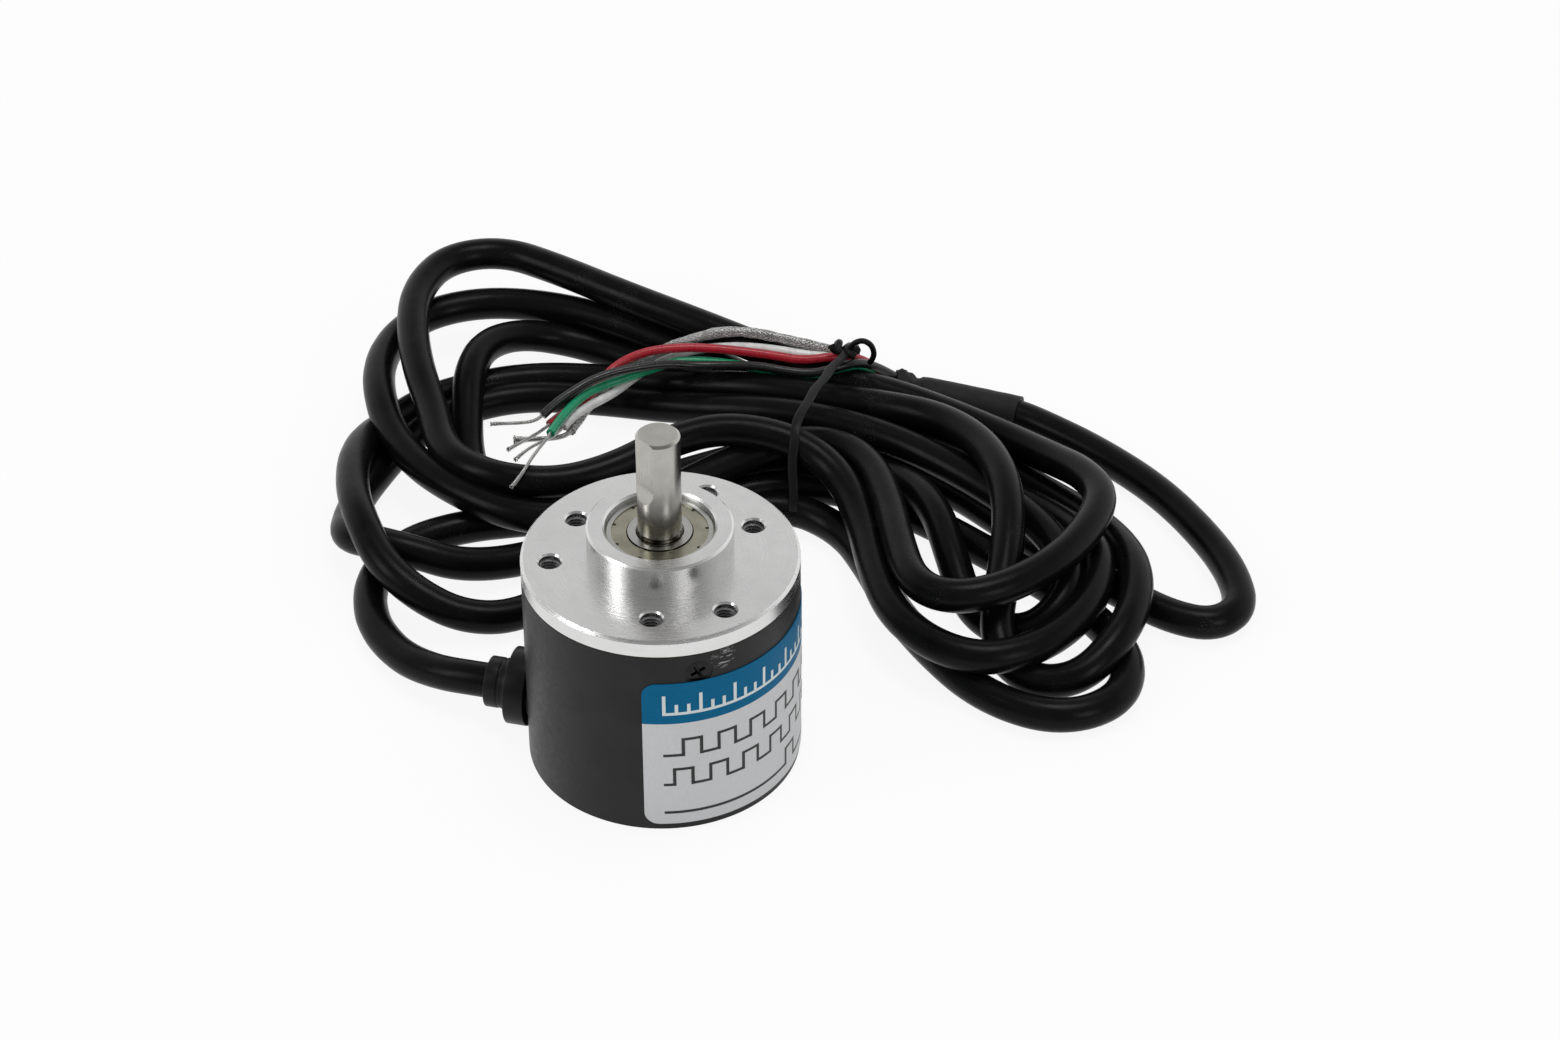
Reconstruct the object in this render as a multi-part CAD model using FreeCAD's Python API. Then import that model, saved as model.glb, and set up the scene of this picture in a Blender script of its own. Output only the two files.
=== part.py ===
import FreeCAD, Part
import math
import os

# Hollow-body rotary encoder with a free cable, millimetres.
# +Z runs up the shaft, the origin is the middle of the base, and the cable leaves towards -X.

V = FreeCAD.Vector
X_AXIS, Y_AXIS, Z_AXIS = V(1, 0, 0), V(0, 1, 0), V(0, 0, 1)
ORIGIN = V(0, 0, 0)

# ---------------------------------------------------------------- driving dimensions
body_d = 38.0            # flange and cover outside
body_h = 33.0            # base to the flange's mounting face
rim_t = 2.5              # bare rim of the flange above the cover
boss_d = 20.0            # locating boss on the flange
boss_h = 5.0
shaft_d = 6.0
shaft_out = 15.0         # shaft beyond the boss
flat_depth = 0.5         # D-flat on the shaft
flat_length = 7.6        # full depth, above the run-out
flat_angle = 238.6       # direction the flat faces
flat_cutter_r = 6.0      # run-out of the flat at its lower end
shaft_chamfer = 0.35
relief_w = 0.6           # grinding relief just above the front bearing
relief_depth = 0.2

cover_wall = 1.0
cover_floor = 1.2
cover_gap = 0.05         # skirt to cover, all round
rim_chamfer = 0.4
boss_chamfer = 0.3
cover_chamfer = 0.2

plate_t = 5.5            # flange plate, from the mounting face down
skirt_bottom = 9.5       # skirt's lower edge below the mounting face
skirt_wall = 3.45

bearing_bore = shaft_d   # 6 x 15 x 5 ball bearings
bearing_od = 15.0
bearing_w = 5.0
bearing_recess = 1.0     # front bearing below the boss top
spacer_l = 2.5
seat_gap = 0.01          # pressed and glued seats, drawn just apart
ball_d = 2.38
ball_count = 7
ball_gap = 0.04          # ball to raceway
pitch_d = 10.5
cage_t = 0.9
cage_h = 3.0
cage_gap = 0.05
inner_land_d = 8.8
outer_land_d = 12.4
ring_chamfer = 0.3
shield_t = 0.25
shield_seat = 0.4        # of the shield's rim into the outer ring
shield_inset = 0.18
shield_gap = 0.15        # shield to the inner ring
snap_ring_notches = 9
snap_notch = 0.45
washer_t = 0.2
washer_wave = 0.12
washer_waves = 3

mount_hole_d = 3.0       # M3 threads at their major diameter
mount_hole_depth = 4.5
mount_countersink_d = 3.5
inner_circle_d = 28.0
outer_circle_d = 30.0
inner_circle_angle = 40.0
outer_circle_angle = 80.0
pattern_count = 3

cover_screw_angle = 60.0
cover_screw_below_face = 5.7
cover_screw_d = 2.0
cover_screw_head_d = 3.4
cover_screw_length = 4.5
cover_screw_slot = (2.0, 0.45)
cover_screw_sink = 0.2
cover_recess_d = 4.0
screw_gap = 0.02

label_start_angle = 276.8
label_sweep = 148.2
label_bottom = 1.2
label_height = 24.7
label_t = 0.12
label_corner_r = 2.0
label_gap = 0.02

hub_lip = 1.5            # shoulder under the rear bearing
collar_d = 12.0
collar_h = 2.5
collar_drop = 0.5        # collar below the bearing hub
disc_d = 26.0
disc_t = 0.5
disc_seat_d = 8.0
shaft_tail = 0.8         # shaft below the collar
set_screw_d = 2.5
set_screw_socket = 1.3
clip_t = 0.6
clip_d = 8.6
clip_groove_depth = 0.3

board_gap = 0.4          # board's edge to the cover
board_t = 1.6
board_drop = 2.9         # board's top below the code disc's lower face
post_inset = 1.75        # post's centre inside the skirt's outer face
post_angle = 30.0
post_d = 3.3
post_stud_l = 2.5
post_thread_d = 2.0
board_screw_head_d = 3.2
board_screw_head_h = 1.2
board_screw_l = 3.5
sensor_angle = 90.0
sensor_r = 11.0
sensor_size = (5.0, 4.0, 1.5)
mask_t = 0.3
mask_wall = 0.6
mask_side_gap = 0.1
slit_w = 0.25
slit_l = 2.0
slit_pitch = 0.75
slit_count = 5
mask_gap = 0.3           # mask to the code disc
bracket_w = 5.0
bracket_column = 1.6
bracket_arm_t = 1.2
bracket_air = 1.1        # arm above the code disc
disc_air = 0.8           # disc edge to the bracket's column
emitter_d = 3.0
emitter_h = 0.5
chip_at = (-2.0, 9.0)
chip_size = (5.0, 4.0, 1.5)
chip_lead = (0.4, 1.0, 0.8)
chip_lead_pitch = 1.27
capacitor_at = (8.0, -4.0)
capacitor_d = 5.0
capacitor_h = 5.4
capacitor_foot = 5.3
capacitor_foot_t = 0.6
resistor_at = (3.0, -10.0)
resistor_size = (1.6, 0.8, 0.5)
resistor_pitch = 2.0
resistor_count = 4

cord_d = 5.0
gland_z = 5.6
gland_disc_d = 11.0
gland_disc_t = 3.0
gland_collar_d = 7.25
gland_collar_l = 3.4
gland_neck_d = 8.0
gland_neck_gap = 0.05
gland_lip_d = 8.7
gland_lip_t = 1.4
ferrule_t = 0.8
ferrule_l = 2.5
cord_tail_inside = 5.5   # jacket inside the cover's wall

header_x = -9.0
header_h = 5.6
header_pitch = 2.28
inner_wire_d = 0.9
inner_wire_count = 5
core_pitch = 0.95        # of the cores where they leave the jacket

sleeve_d = 5.8
sleeve_neck_d = 4.8
sleeve_grip = 6.4        # of jacket inside the sleeve
wire_d = 1.4
braid_d = 1.8
strand_d = 0.6
braid_end_d = 1.0

hank_h = 9.6             # two strands high
hank_step_h = 11.7       # where one of the upper strands rides high
hank_peak_h = 14.8       # three strands high
wire_rest_h = 5.2        # single strands that the wires lie over
tie_x = 5.0
tie_y = (49.6, 83.6)
tie_top = 15.8
tie_w = 1.5
tie_t = 0.6
tie_gap = 0.1
tie_knot_d = 1.8
tie_knot_l = 5.0
tie_knot_y = 77.5


# ---------------------------------------------------------------- helpers
def disc(radius, low, high, x=0.0, y=0.0):
    """Upright cylinder between two heights."""
    return Part.makeCylinder(radius, high - low, V(x, y, low))


def ring(outer_r, inner_r, low, high, x=0.0, y=0.0):
    """Upright tube between two heights."""
    return disc(outer_r, low, high, x, y).cut(disc(inner_r, low, high, x, y))


def cone(low_r, high_r, low, high, x=0.0, y=0.0):
    return Part.makeCone(low_r, high_r, high - low, V(x, y, low))


def block(size_x, size_y, low, high, x=0.0, y=0.0):
    """Box centred on x, y between two heights."""
    return Part.makeBox(size_x, size_y, high - low, V(x - size_x / 2, y - size_y / 2, low))


def polar(radius, angle):
    return radius * math.cos(math.radians(angle)), radius * math.sin(math.radians(angle))


def turned(shape, angle):
    """Copy of a shape turned about the shaft's axis."""
    copy = shape.copy()
    copy.rotate(ORIGIN, Z_AXIS, angle)
    return copy


def pattern(shape, count, first_angle=0.0):
    """Copies evenly spaced about the shaft's axis."""
    return [turned(shape, first_angle + 360.0 * i / count) for i in range(count)]


def cut_all(shape, tools):
    return shape.cut(Part.makeCompound(tools))


def edge_ring(radius, height, shape):
    """Circular edges of a shape at one radius and height."""
    found = []
    for edge in shape.Edges:
        if isinstance(edge.Curve, Part.Circle):
            centre = edge.Curve.Center
            round_shaft = math.hypot(centre.x, centre.y) < 1e-6
            if round_shaft and abs(edge.Curve.Radius - radius) < 1e-6 and abs(centre.z - height) < 1e-6:
                found.append(edge)
    return found


def chamfered(shape, radius, height, size):
    return shape.makeChamfer(size, edge_ring(radius, height, shape))


os.makedirs("parts", exist_ok=True)


def save(node, solids):
    """Write one solid, or a group of separate solids, as one node."""
    group = solids if isinstance(solids, list) else [solids]
    shape = group[0] if len(group) == 1 else Part.makeCompound(group)
    shape.exportStep("parts/" + node + ".step")


# ---------------------------------------------------------------- sizes that follow
body_r = body_d / 2
boss_top = body_h + boss_h
shaft_top = boss_top + shaft_out
shaft_r = shaft_d / 2
cover_top = body_h - rim_t
cover_inner_r = body_r - cover_wall
board_d = 2 * (cover_inner_r - board_gap)
post_circle_r = cover_inner_r - cover_gap - post_inset
skirt_r = cover_inner_r - cover_gap
plate_low = body_h - plate_t
skirt_low = body_h - skirt_bottom

front_low = boss_top - bearing_recess - bearing_w
rear_low = front_low - spacer_l - bearing_w
seat_low = rear_low - washer_t - 2 * washer_wave
hub_low = seat_low - hub_lip
outer_race_r = bearing_od / 2
seat_r = outer_race_r + seat_gap
shoulder_r = outer_land_d / 2 + shield_seat

collar_top = hub_low - collar_drop
collar_low = collar_top - collar_h
shaft_low = collar_low - shaft_tail
disc_low = collar_low - disc_t
board_top = disc_low - board_drop
board_low = board_top - board_t

screw_z = body_h - cover_screw_below_face
gland_face = -(body_r + gland_disc_t)
gland_mouth = gland_face - gland_collar_l

# ---------------------------------------------------------------- routes of the cable and wires
lead_route = [(gland_mouth, 0, gland_z), (-29.5, 0, gland_z), (-35.0, 1.4, 4.4), (-41.0, 4.9, 3.1),
              (-46.3, 10.6, 2.52), (-49.0, 17.0, 2.52)]
tail_route = [(62.0, 41.6, 2.5), (66.0, 40.2, 2.5), (70.6, 39.6, 2.5), (74.3, 42.0, 2.5), (74.6, 46.8, 2.5),
              (71.8, 53.0, 2.5), (66.5, 61.0, 2.5), (59.0, 69.6, 2.5), (48.9, 78.2, 2.6), (38.3, 83.5, 2.9),
              (27.0, 84.45, 3.0)]
sleeve_start = V(33.3, 83.92, 2.95)
sleeve_end = V(18.2, 85.2, 3.1)
sleeve_neck = V(15.0, 84.0, 4.75)

# Floor outline of the tied hank, and the open middle of its left loops.
hank_outline = [(-41.5, 13), (-34, 12.4), (-27, 15.2), (-19, 24.5), (-12.5, 36), (-5, 46.5), (5, 50),
                (12, 48.5), (17.5, 41.5), (23.5, 31), (31.5, 22), (40.5, 15), (50, 11.7), (58.5, 13.6),
                (64, 20), (64.5, 29.5), (63.2, 38.5), (60.8, 48), (54.5, 58.5), (45.5, 67), (36.5, 73.6),
                (26.5, 78.5), (16, 81), (5, 81.9), (-6, 84.5), (-18, 87), (-30, 90.6), (-42, 95.1),
                (-52, 98.1), (-61.5, 93.5), (-65, 83.5), (-66.6, 75), (-66, 65.5), (-63.6, 57), (-63, 49.5),
                (-62.6, 40), (-60.3, 31.5), (-55.8, 23.5), (-49.5, 16.2)]
hank_window = [(-44.5, 53), (-38.5, 48.6), (-28, 49.6), (-18.5, 56), (-8, 65.2), (-15, 69.8), (-28, 71),
               (-41, 68.8), (-46.8, 61.5)]
# Upright blocks as (low X, low Y, length, width): where the hank is only two strands high, where it
# rides higher, and where it gives the wires room.
two_high = [(-44, 0, 60, 200), (16, 68, 200, 200)]
step_high = [(-44, 37, 22, 5.5), (-22, 37, 22, 23)]
wire_room = [(-44, 60, 28, 21), (tie_x + tie_w / 2 + tie_gap, 76, 16.1, 15)]

wire_routes = {
    "wire_black": [(14.6, 84, 6.7), (12.3, 83, 8.4), (9.9, 81.8, 10.6), (6.5, 79.9, 12.9),
                   (3, 77.9, 13.3), (-0.8, 75.9, 12.7), (-5, 75, 11.6), (-9.5, 74.7, 11),
                   (-14.5, 73.6, 11), (-18.5, 71.5, 12.2), (-22, 69.2, 12.6), (-25.5, 66.9, 12.7),
                   (-28.6, 64.2, 12.4), (-30.8, 61.4, 11.8), (-32.8, 59.1, 11), (-34.3, 57, 9.9)],
    "wire_green": [(13.9, 82.6, 4), (11.5, 82.6, 5.2), (9.2, 81.2, 7.3), (5.8, 77.3, 10.8),
                   (1.5, 76.6, 11.1), (-3.5, 76.5, 10.9), (-9, 76.3, 10.7), (-14.5, 75.7, 10.6),
                   (-18.5, 74.1, 10.7), (-21.3, 71.2, 10.8), (-24, 68, 11), (-26.8, 65.8, 10.8),
                   (-29, 63.3, 10.6), (-30.4, 60.3, 10.3), (-31.3, 56.8, 10), (-31.8, 52.9, 9.9)],
    "wire_red": [(14.5, 83, 5.5), (12.2, 82.7, 6.8), (9.6, 81.6, 8.9), (5.8, 78.8, 11.3),
                 (1.5, 78.1, 11.5), (-3.5, 77.9, 11.9), (-9.5, 77.1, 12.4), (-15, 76.1, 12.7),
                 (-19.5, 74.7, 12.7), (-23, 73.1, 12.4), (-26.2, 70.9, 11.3), (-28, 67.7, 10.1),
                 (-28.8, 64.8, 9.2), (-30.3, 62.6, 8.8), (-31.9, 60.2, 8.5), (-33.2, 57, 8.4)],
    "wire_white": [(13.6, 84.3, 3.6), (11.2, 84.2, 4.8), (9, 82.9, 7.5), (5.8, 80.4, 10.5),
                   (1.5, 79.6, 11.6), (-3.5, 79.4, 12), (-9, 79.2, 11.8), (-14.5, 79, 10.7),
                   (-18.3, 77.8, 9.7), (-21.4, 75.2, 9.1), (-23.6, 71.5, 9), (-24.9, 67.6, 9.2),
                   (-26.5, 64.7, 9.2), (-28.5, 62.2, 9), (-30.2, 59.6, 8.7), (-31, 56.9, 8.4)],
    "shield_braid": [(14.3, 84.9, 5), (12, 84.5, 6.4), (9.3, 83.4, 9), (5.8, 82, 11.4),
                     (1.5, 81.2, 12.4), (-3.5, 81.1, 13.1), (-9, 80.9, 13.5), (-13.5, 79.9, 13.1),
                     (-17.8, 77.9, 12), (-21.5, 75.2, 11.1), (-25, 72, 10), (-27.4, 69.2, 8.8),
                     (-28.8, 66.2, 7.5), (-29.7, 62.8, 6.9), (-30.1, 60.2, 6.8), (-30.3, 58.2, 6.8)],
}
# Bare ends, each setting out the way its insulation ends.
strand_routes = {
    "strands_black": [(-34.3, 57, 9.9), (-35, 56, 9.4), (-37.8, 54.9, 9.3), (-41.5, 53.6, 9.5)],
    "strands_green": [(-31.8, 52.9, 9.9), (-32, 51.1, 9.85), (-32, 48.5, 10.6), (-31.8, 45.4, 11.7),
                      (-31.7, 42, 12.6), (-31.9, 38.6, 12.6), (-32.7, 35.7, 12.1)],
    "strands_red": [(-33.2, 57, 8.4), (-33.9, 55.3, 8.35), (-34.9, 52, 9.1), (-36.5, 46.4, 10.7)],
    "strands_white": [(-31, 56.9, 8.4), (-31.5, 55.2, 8.2), (-32.7, 51.9, 8.9), (-33.8, 48, 10.3),
                      (-34.5, 43.6, 11.2)],
    "braid_tip": [(-30.3, 58.2, 6.8), (-30.4, 57.2, 6.8), (-32, 55.9, 6.8), (-34.2, 54.9, 7),
                  (-37.6, 52.9, 7.6)],
}


# ---------------------------------------------------------------- flange housing
def mount_hole(circle_d, angle):
    x, y = polar(circle_d / 2, angle)
    hole = disc(mount_hole_d / 2, body_h - mount_hole_depth, body_h, x, y)
    sink = (mount_countersink_d - mount_hole_d) / 2
    mouth = cone(mount_hole_d / 2, mount_countersink_d / 2, body_h - sink, body_h, x, y)
    return hole.fuse(mouth)


def flange_housing():
    rim = chamfered(disc(body_r, cover_top, body_h), body_r, body_h, rim_chamfer)
    skirt = ring(skirt_r, skirt_r - skirt_wall, skirt_low, plate_low)
    plate = disc(skirt_r, plate_low, cover_top)
    boss = chamfered(disc(boss_d / 2, hub_low, boss_top), boss_d / 2, boss_top, boss_chamfer)
    body = rim.fuse([skirt, plate, boss])
    seat = disc(seat_r, seat_low, boss_top)
    mouth = cone(seat_r, seat_r + boss_chamfer, boss_top - boss_chamfer, boss_top)
    through = disc(shoulder_r, hub_low, seat_low)
    tools = [seat, mouth, through]
    for i in range(pattern_count):
        step = 360.0 * i / pattern_count
        tools.append(mount_hole(inner_circle_d, inner_circle_angle + step))
        tools.append(mount_hole(outer_circle_d, outer_circle_angle + step))
    thread_r = cover_screw_d / 2 + screw_gap
    thread_end = body_r - cover_screw_sink - cover_screw_length - 0.5
    radial = Part.makeCylinder(thread_r, skirt_r - thread_end, V(thread_end, 0, screw_z), X_AXIS)
    tools += pattern(radial, pattern_count, cover_screw_angle)
    x, y = polar(post_circle_r, post_angle)
    stud = disc(post_thread_d / 2 + screw_gap, skirt_low, skirt_low + post_stud_l + 0.5, x, y)
    tools += pattern(stud, pattern_count)
    return cut_all(body, tools).removeSplitter()


# ---------------------------------------------------------------- cover, its screws and label
def cover_can():
    can = disc(body_r, 0, cover_top).cut(disc(cover_inner_r, cover_floor, cover_top))
    can = chamfered(can, body_r, 0, cover_chamfer)
    can = chamfered(can, body_r, cover_top, cover_chamfer)
    recess_r = cover_recess_d / 2
    head_r = cover_screw_head_d / 2 + screw_gap
    shank_r = cover_screw_d / 2 + screw_gap
    face = body_r - cover_screw_sink
    dish = Part.makeCylinder(recess_r, 2 * cover_screw_sink, V(face, 0, screw_z), X_AXIS)
    sink = Part.makeCone(shank_r, head_r, head_r - shank_r, V(face - (head_r - shank_r), 0, screw_z), X_AXIS)
    shank = Part.makeCylinder(shank_r, 2 * cover_wall, V(body_r - 2 * cover_wall, 0, screw_z), X_AXIS)
    opening = dish.fuse([sink, shank])
    tools = pattern(opening, pattern_count, cover_screw_angle)
    neck_r = gland_neck_d / 2 + gland_neck_gap
    tools.append(Part.makeCylinder(neck_r, 3 * cover_wall, V(-body_r - cover_wall, 0, gland_z), X_AXIS))
    return cut_all(can, tools)


def cover_screws():
    head_r = cover_screw_head_d / 2
    shank_r = cover_screw_d / 2
    face = body_r - cover_screw_sink
    sink = head_r - shank_r
    head = Part.makeCone(shank_r, head_r, sink, V(face - sink, 0, screw_z), X_AXIS)
    shank = Part.makeCylinder(shank_r, cover_screw_length - sink,
                              V(face - cover_screw_length, 0, screw_z), X_AXIS)
    screw = head.fuse(shank)
    long, narrow = cover_screw_slot
    for size_y, size_z in ((long, narrow), (narrow, long)):
        slot = Part.makeBox(narrow, size_y, size_z, V(face - narrow, -size_y / 2, screw_z - size_z / 2))
        screw = screw.cut(slot)
    return pattern(screw, pattern_count, cover_screw_angle)


def side_label():
    inner_r = body_r + label_gap
    outer_r = inner_r + label_t
    top = label_bottom + label_height
    outer = Part.makeCylinder(outer_r, label_height, V(0, 0, label_bottom), Z_AXIS, label_sweep)
    inner = Part.makeCylinder(inner_r, label_height, V(0, 0, label_bottom), Z_AXIS, label_sweep)
    sheet = outer.cut(inner)
    corners = []
    for edge in sheet.Edges:
        ends = [vertex.Point for vertex in edge.Vertexes]
        if len(ends) == 2 and abs(edge.Length - label_t) < 1e-4 and abs(ends[0].z - ends[1].z) < 1e-6:
            corners.append(edge)
    return turned(sheet.makeFillet(label_corner_r, corners), label_start_angle)


# ---------------------------------------------------------------- ball bearings
def groove(low, extra):
    """Raceway torus of a bearing whose lower face is at a height."""
    return Part.makeTorus(pitch_d / 2, ball_d / 2 + extra, V(0, 0, low + bearing_w / 2))


def outer_ring(low):
    body = ring(outer_race_r, outer_land_d / 2, low, low + bearing_w)
    for height in (low, low + bearing_w):
        body = chamfered(body, outer_race_r, height, ring_chamfer)
    rim_r = outer_land_d / 2 + shield_seat
    depth = shield_inset + shield_t
    seat = disc(rim_r, low, low + depth)
    other = disc(rim_r, low + bearing_w - depth, low + bearing_w)
    return cut_all(body, [groove(low, ball_gap), seat, other])


def inner_ring(low):
    body = ring(inner_land_d / 2, bearing_bore / 2 + seat_gap, low, low + bearing_w)
    for height in (low, low + bearing_w):
        body = chamfered(body, bearing_bore / 2 + seat_gap, height, ring_chamfer)
    return body.cut(groove(low, ball_gap))


def bearing_balls(low):
    ball = Part.makeSphere(ball_d / 2, V(pitch_d / 2, 0, low + bearing_w / 2))
    return pattern(ball, ball_count)


def bearing_cage(low):
    middle = low + bearing_w / 2
    body = ring((pitch_d + cage_t) / 2, (pitch_d - cage_t) / 2, middle - cage_h / 2, middle + cage_h / 2)
    pocket = Part.makeCylinder(ball_d / 2 + cage_gap, pitch_d / 2, V(pitch_d / 4, 0, middle), X_AXIS)
    return cut_all(body, pattern(pocket, ball_count))


def bearing_shield(low, upper):
    """Pressed shield with its notched snap ring, in the outer ring's seat."""
    near = low + bearing_w - shield_inset - shield_t if upper else low + shield_inset
    outer_r = outer_land_d / 2 + shield_seat - seat_gap
    plate = ring(outer_r, inner_land_d / 2 + shield_gap, near, near + shield_t)
    notch = block(2 * snap_notch, snap_notch, near, near + shield_t, outer_r)
    return cut_all(plate, pattern(notch, snap_ring_notches, 20.0))


def wave_washer():
    """Preload washer between the hub's shoulder and the rear bearing."""
    edges = []
    for radius in (outer_land_d / 2 + 0.45, outer_race_r - 0.1):
        points = []
        for i in range(36):
            angle = 2 * math.pi * i / 36
            lift = washer_wave * (1 + math.sin(washer_waves * angle))
            points.append(V(radius * math.cos(angle), radius * math.sin(angle), seat_low + lift))
        curve = Part.BSplineCurve()
        curve.interpolate(points, PeriodicFlag=True)
        edges.append(curve.toShape())
    return Part.makeRuledSurface(edges[0], edges[1]).extrude(V(0, 0, washer_t))


def outer_spacer():
    return ring(outer_race_r - 0.02, outer_race_r - 0.9, front_low - spacer_l, front_low)


def inner_spacer():
    return ring(inner_land_d / 2 - 0.3, shaft_r + 0.02, front_low - spacer_l, front_low)


# ---------------------------------------------------------------- shaft, collar and code disc
def shaft():
    flat_low = shaft_top - flat_length
    face = shaft_r - flat_depth
    # the wall is parted where the full flat begins: all round below it, an arc beside it
    body = disc(shaft_r, shaft_low, flat_low).fuse(disc(shaft_r, flat_low, shaft_top))
    body = chamfered(body, shaft_r, shaft_top, shaft_chamfer)
    body = chamfered(body, shaft_r, shaft_low, shaft_chamfer)
    cutter = block(2 * shaft_r, 2 * shaft_d, flat_low, shaft_top + 1, face + shaft_r)
    run_out = Part.makeCylinder(flat_cutter_r, 2 * shaft_d,
                                V(face + flat_cutter_r, -shaft_d, flat_low), Y_AXIS)
    body = turned(body.cut(cutter.fuse(run_out)), flat_angle)
    clip_groove = ring(shaft_d, shaft_r - clip_groove_depth, rear_low - clip_t - 0.1, rear_low)
    relief_low = front_low + bearing_w
    relief = ring(shaft_d, shaft_r - relief_depth, relief_low, relief_low + relief_w)
    return cut_all(body, [clip_groove, relief])


def retaining_clip():
    """Open clip in the shaft's groove, under the rear bearing's inner ring."""
    body = ring(clip_d / 2, shaft_r - clip_groove_depth + 0.02, rear_low - clip_t - 0.05, rear_low - 0.05)
    mouth = block(clip_d, 1.4 * (shaft_r - clip_groove_depth), rear_low - 1, rear_low, clip_d / 2)
    return body.cut(mouth)


def disc_collar():
    body = ring(collar_d / 2, shaft_r + seat_gap, collar_low, collar_top)
    seat = ring(disc_seat_d / 2, shaft_r + seat_gap, shaft_low, collar_low)
    middle = (collar_low + collar_top) / 2
    hole = Part.makeCylinder(set_screw_d / 2 + screw_gap, collar_d, V(0, 0, middle), X_AXIS)
    return body.fuse(seat).cut(hole)


def set_screw():
    length = (collar_d - shaft_d) / 2 - 0.1
    start = shaft_r + 0.05
    height = (collar_low + collar_top) / 2
    body = Part.makeCylinder(set_screw_d / 2, length, V(start, 0, height), X_AXIS)
    radius = set_screw_socket / math.sqrt(3)
    corners = [V(start + length, *polar(radius, 60.0 * i)) for i in range(7)]
    for corner in corners:
        corner.z += height
    socket = Part.Face(Part.makePolygon(corners)).extrude(V(-1.2, 0, 0))
    return body.cut(socket)


def code_disc():
    return ring(disc_d / 2, disc_seat_d / 2 + 0.02, disc_low, collar_low)


# ---------------------------------------------------------------- circuit board and optics
def circuit_board():
    body = disc(board_d / 2, board_low, board_top)
    x, y = polar(post_circle_r, post_angle)
    hole = disc(post_thread_d / 2 + 0.1, board_low, board_top, x, y)
    return cut_all(body, pattern(hole, pattern_count))


def board_posts():
    x, y = polar(post_circle_r, post_angle)
    post = disc(post_d / 2, board_top, skirt_low, x, y)
    stud = disc(post_thread_d / 2, skirt_low, skirt_low + post_stud_l, x, y)
    hole = disc(post_thread_d / 2 + screw_gap, board_top, board_top + board_screw_l, x, y)
    return pattern(post.fuse(stud).cut(hole), pattern_count)


def board_screws():
    x, y = polar(post_circle_r, post_angle)
    head = disc(board_screw_head_d / 2, board_low - board_screw_head_h, board_low, x, y)
    shank = disc(post_thread_d / 2, board_low, board_top + board_screw_l - 0.5, x, y)
    return pattern(head.fuse(shank), pattern_count)


def photo_sensor():
    along, across, height = sensor_size
    return turned(block(along, across, board_top, board_top + height, sensor_r), sensor_angle)


def mask_plate():
    """Slit mask over the sensor, just under the code disc."""
    along, across, height = sensor_size
    top = disc_low - mask_gap
    middle = (across + mask_wall) / 2 + mask_side_gap
    wall = block(along, mask_wall, board_top, top - mask_t, sensor_r, middle)
    other = block(along, mask_wall, board_top, top - mask_t, sensor_r, -middle)
    roof = block(along, 2 * middle + mask_wall, top - mask_t, top, sensor_r)
    first = sensor_r - slit_pitch * (slit_count - 1) / 2
    slits = [block(slit_w, slit_l, top - mask_t, top, first + slit_pitch * i) for i in range(slit_count)]
    return turned(cut_all(roof.fuse([wall, other]), slits), sensor_angle)


def emitter_bracket():
    """Post and arm that hold the emitter over the code disc's rim."""
    column_in = disc_d / 2 + disc_air
    arm_low = collar_low + bracket_air
    arm_top = arm_low + bracket_arm_t
    column = block(bracket_column, bracket_w, board_top, arm_top, column_in + bracket_column / 2)
    reach = column_in - sensor_r + emitter_d
    arm = block(reach, bracket_w, arm_low, arm_top, column_in - reach / 2)
    return turned(column.fuse(arm), sensor_angle)


def light_emitter():
    arm_low = collar_low + bracket_air
    return turned(disc(emitter_d / 2, arm_low - emitter_h, arm_low, sensor_r), sensor_angle)


def interface_chip():
    x, y = chip_at
    along, across, height = chip_size
    lead_w, lead_l, lead_h = chip_lead
    body = block(along, across, board_low - height, board_low - 0.1, x, y)
    leads = []
    for i in range(4):
        lead_x = x + chip_lead_pitch * (i - 1.5)
        for side in (-1, 1):
            lead_y = y + side * (across + lead_l / 2) / 2
            leads.append(block(lead_w, lead_l, board_low - lead_h, board_low, lead_x, lead_y))
    return body.fuse(leads)


def smoothing_capacitor():
    x, y = capacitor_at
    foot_low = board_low - capacitor_foot_t
    can = disc(capacitor_d / 2, board_low - capacitor_h, foot_low, x, y)
    foot = block(capacitor_foot, capacitor_foot, foot_low, board_low, x, y)
    return can.fuse(foot)


def chip_resistors():
    along, across, height = resistor_size
    x, y = resistor_at
    return [block(along, across, board_low - height, board_low, x, y + resistor_pitch * i)
            for i in range(resistor_count)]


def wire_header():
    body = block(4.0, header_pitch * inner_wire_count + 1.5, board_low - header_h, board_low, header_x)
    holes = []
    for i in range(inner_wire_count):
        y = header_pitch * (i - (inner_wire_count - 1) / 2)
        holes.append(disc(inner_wire_d / 2 + 0.05, board_low - header_h, board_low - 2.0, header_x, y))
    return cut_all(body, holes)


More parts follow.
